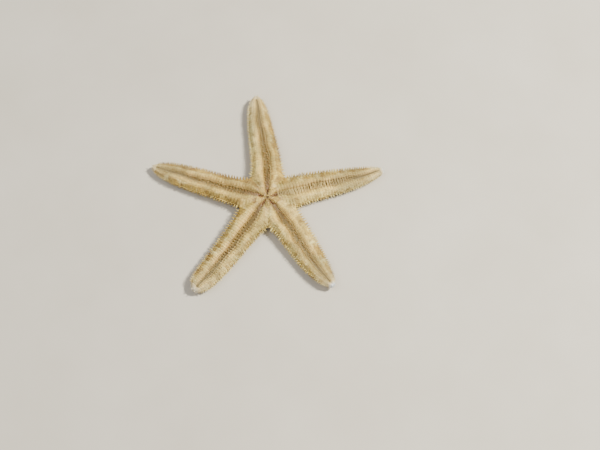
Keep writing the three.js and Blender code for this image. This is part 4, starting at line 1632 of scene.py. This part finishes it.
# %% Model the sieve plate
SIEVE_RINGS, SIEVE_SPOKES = 26, 160
SIEVE_LOW, SIEVE_HIGH = 0.06, 0.45
GROOVES = 17
GROOVE_DEPTH = 0.05


def sieve_material():
    material, n, shader, place = start_material("grooved_sieve_plate")
    pale = n.ramp(n.noise(place, 1400.0), [(0.3, srgb(150, 130, 94)), (0.7, srgb(184, 166, 126))])
    n.set(shader, "Base Color", n.mix(n.times(n.value("joint"), 0.8), pale, srgb(120, 96, 66)))
    n.set(shader, "Roughness", n.span(n.noise(place, 1200.0), 0.3, 0.7, 0.5, 0.7))
    bumps(n, shader, place, 5200.0, 0.3, 0.00004)
    return material


def build_sieve_plate():
    r = np.linspace(0, 1, SIEVE_RINGS)[1:, None]
    angle = np.arange(SIEVE_SPOKES)[None] / SIEVE_SPOKES * 2 * math.pi
    sway = 0.35 * np.sin(5 * r * math.pi + 2 * np.sin(3 * angle))
    branch = np.cos(GROOVES * angle + sway * 3)
    groove = np.clip(branch, 0, 1) ** 2 * smooth(r, 0.12, 0.3) * (1 - smooth(r, 0.86, 0.97))
    dome = SIEVE_LOW + 0.16 * np.abs(r) ** 6
    z = dome + GROOVE_DEPTH * groove
    x = SIEVE_RADIUS * r * np.cos(angle)
    y = SIEVE_RADIUS * r * np.sin(angle)
    under = np.stack([x, y, z], -1).reshape(-1, 3)
    rim = np.stack([x[-1], y[-1], np.full(SIEVE_SPOKES, SIEVE_HIGH)], -1)
    points = np.concatenate([under, rim, [[0, 0, SIEVE_LOW], [0, 0, SIEVE_HIGH]]])
    number = np.arange(len(under) + SIEVE_SPOKES).reshape(-1, SIEVE_SPOKES)
    nxt = np.roll(number, -1, 1)
    quads = np.stack([number[:-1], nxt[:-1], nxt[1:], number[1:]], -1)[..., ::-1].reshape(-1, 4)
    middle = np.stack([number[0], nxt[0], np.full(SIEVE_SPOKES, len(points) - 2)], -1)
    top = np.stack([nxt[-1], number[-1], np.full(SIEVE_SPOKES, len(points) - 1)], -1)
    cosine, sine = math.cos(SIEVE_ANGLE), math.sin(SIEVE_ANGLE)
    spin = np.array([[cosine, sine, 0], [-sine, cosine, 0], [0, 0, 1]])
    faces = [quads, middle[:, ::-1], top[:, ::-1]]
    flat = 0.5 + points[:, :2] / (2.2 * SIEVE_RADIUS)
    joint = np.concatenate([groove.ravel(), np.zeros(SIEVE_SPOKES + 2)])
    placed = (points + [SIEVE_REACH, 0, 0]) @ spin
    maps = [flat[face] for face in faces]
    piece = write_mesh("sieve_plate", placed, faces, maps, {"joint": joint}, sieve_material())
    weld(piece)
    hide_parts("madreporite")
    return piece


sieve_plate = build_sieve_plate()
print("sieve plate:", len(sieve_plate.data.polygons), "faces")

# %% [markdown]
# ## Camera, light and floor
#
# The star is seen from above and from its near side, at 64 degrees above the floor, with a longish lens
# that hardly draws the near arms larger. One small lamp, high on the right, gives each rib and spine a lit
# side and a soft shadow. A broad weak lamp on the left and pale surroundings fill the rest.

# %% Aim the camera
CAMERA_ELEVATION = math.radians(64)
CAMERA_DISTANCE = 0.283  # in metres, as is the point it looks at
LOOK_AT = np.array([0.0092, -0.00684, 0.0])


def add_camera():
    data = bpy.data.cameras.new("camera")
    data.lens, data.sensor_width, data.sensor_fit = 60.0, 36.0, "HORIZONTAL"
    data.clip_start, data.clip_end = 0.005, 10.0
    camera = bpy.data.objects.new("camera", data)
    back = np.array([0.0, -math.cos(CAMERA_ELEVATION), math.sin(CAMERA_ELEVATION)])
    camera.location = LOOK_AT + CAMERA_DISTANCE * back
    camera.rotation_euler = (math.pi / 2 - CAMERA_ELEVATION, 0.0, 0.0)
    bpy.context.scene.collection.objects.link(camera)
    bpy.context.scene.camera = camera


add_camera()
print("camera:", CAMERA_DISTANCE, "m away, at", round(math.degrees(CAMERA_ELEVATION)), "degrees")


# %% Lay the floor and light it
FLOOR_REACH = 1.5  # in metres, as are the lamps' distances and sizes


def add_lamp(name, azimuth, elevation, distance, size, energy, colour):
    """A round lamp aimed at the star. azimuth counts from +X towards +Y, in degrees."""
    data = bpy.data.lights.new(name, "AREA")
    data.shape, data.size, data.energy, data.color = "DISK", size, energy, colour
    lamp = bpy.data.objects.new(name, data)
    a, e = math.radians(azimuth), math.radians(elevation)
    towards = [math.cos(e) * math.cos(a), math.cos(e) * math.sin(a), math.sin(e)]
    lamp.location = [distance * part for part in towards]
    lamp.rotation_euler = (math.pi / 2 - e, 0.0, a + math.pi / 2)
    bpy.context.scene.collection.objects.link(lamp)


def add_floor():
    material, n, shader, place = start_material("pale_floor")
    greys = [(0.3, srgb(204, 199, 190)), (0.7, srgb(212, 208, 200))]
    n.set(shader, "Base Color", n.ramp(n.noise(place, 30.0), greys))
    n.set(shader, "Roughness", n.span(n.noise(place, 200.0), 0.3, 0.7, 0.75, 0.85))
    mesh = bpy.data.meshes.new("floor")
    corners = [(FLOOR_REACH * x, FLOOR_REACH * y, 0) for x, y in ((-1, -1), (1, -1), (1, 1), (-1, 1))]
    mesh.from_pydata(corners, [], [(0, 1, 2, 3)])
    mesh.materials.append(material)
    floor = bpy.data.objects.new("floor", mesh)
    bpy.context.scene.collection.objects.link(floor)


def set_world(colour, strength):
    world = bpy.data.worlds.new("studio")
    bpy.context.scene.world = world
    world.use_nodes = True
    background = world.node_tree.nodes["Background"]
    background.inputs["Color"].default_value = colour
    background.inputs["Strength"].default_value = strength


add_floor()
add_lamp("key", 6.0, 50.0, 0.6, 0.09, 7.6, (1.0, 0.945, 0.79))
add_lamp("fill", 195.0, 60.0, 0.7, 0.5, 1.7, (1.0, 0.96, 0.9))
set_world((1.0, 0.965, 0.9, 1.0), 0.4)
print("lamps:", len(bpy.data.lights))
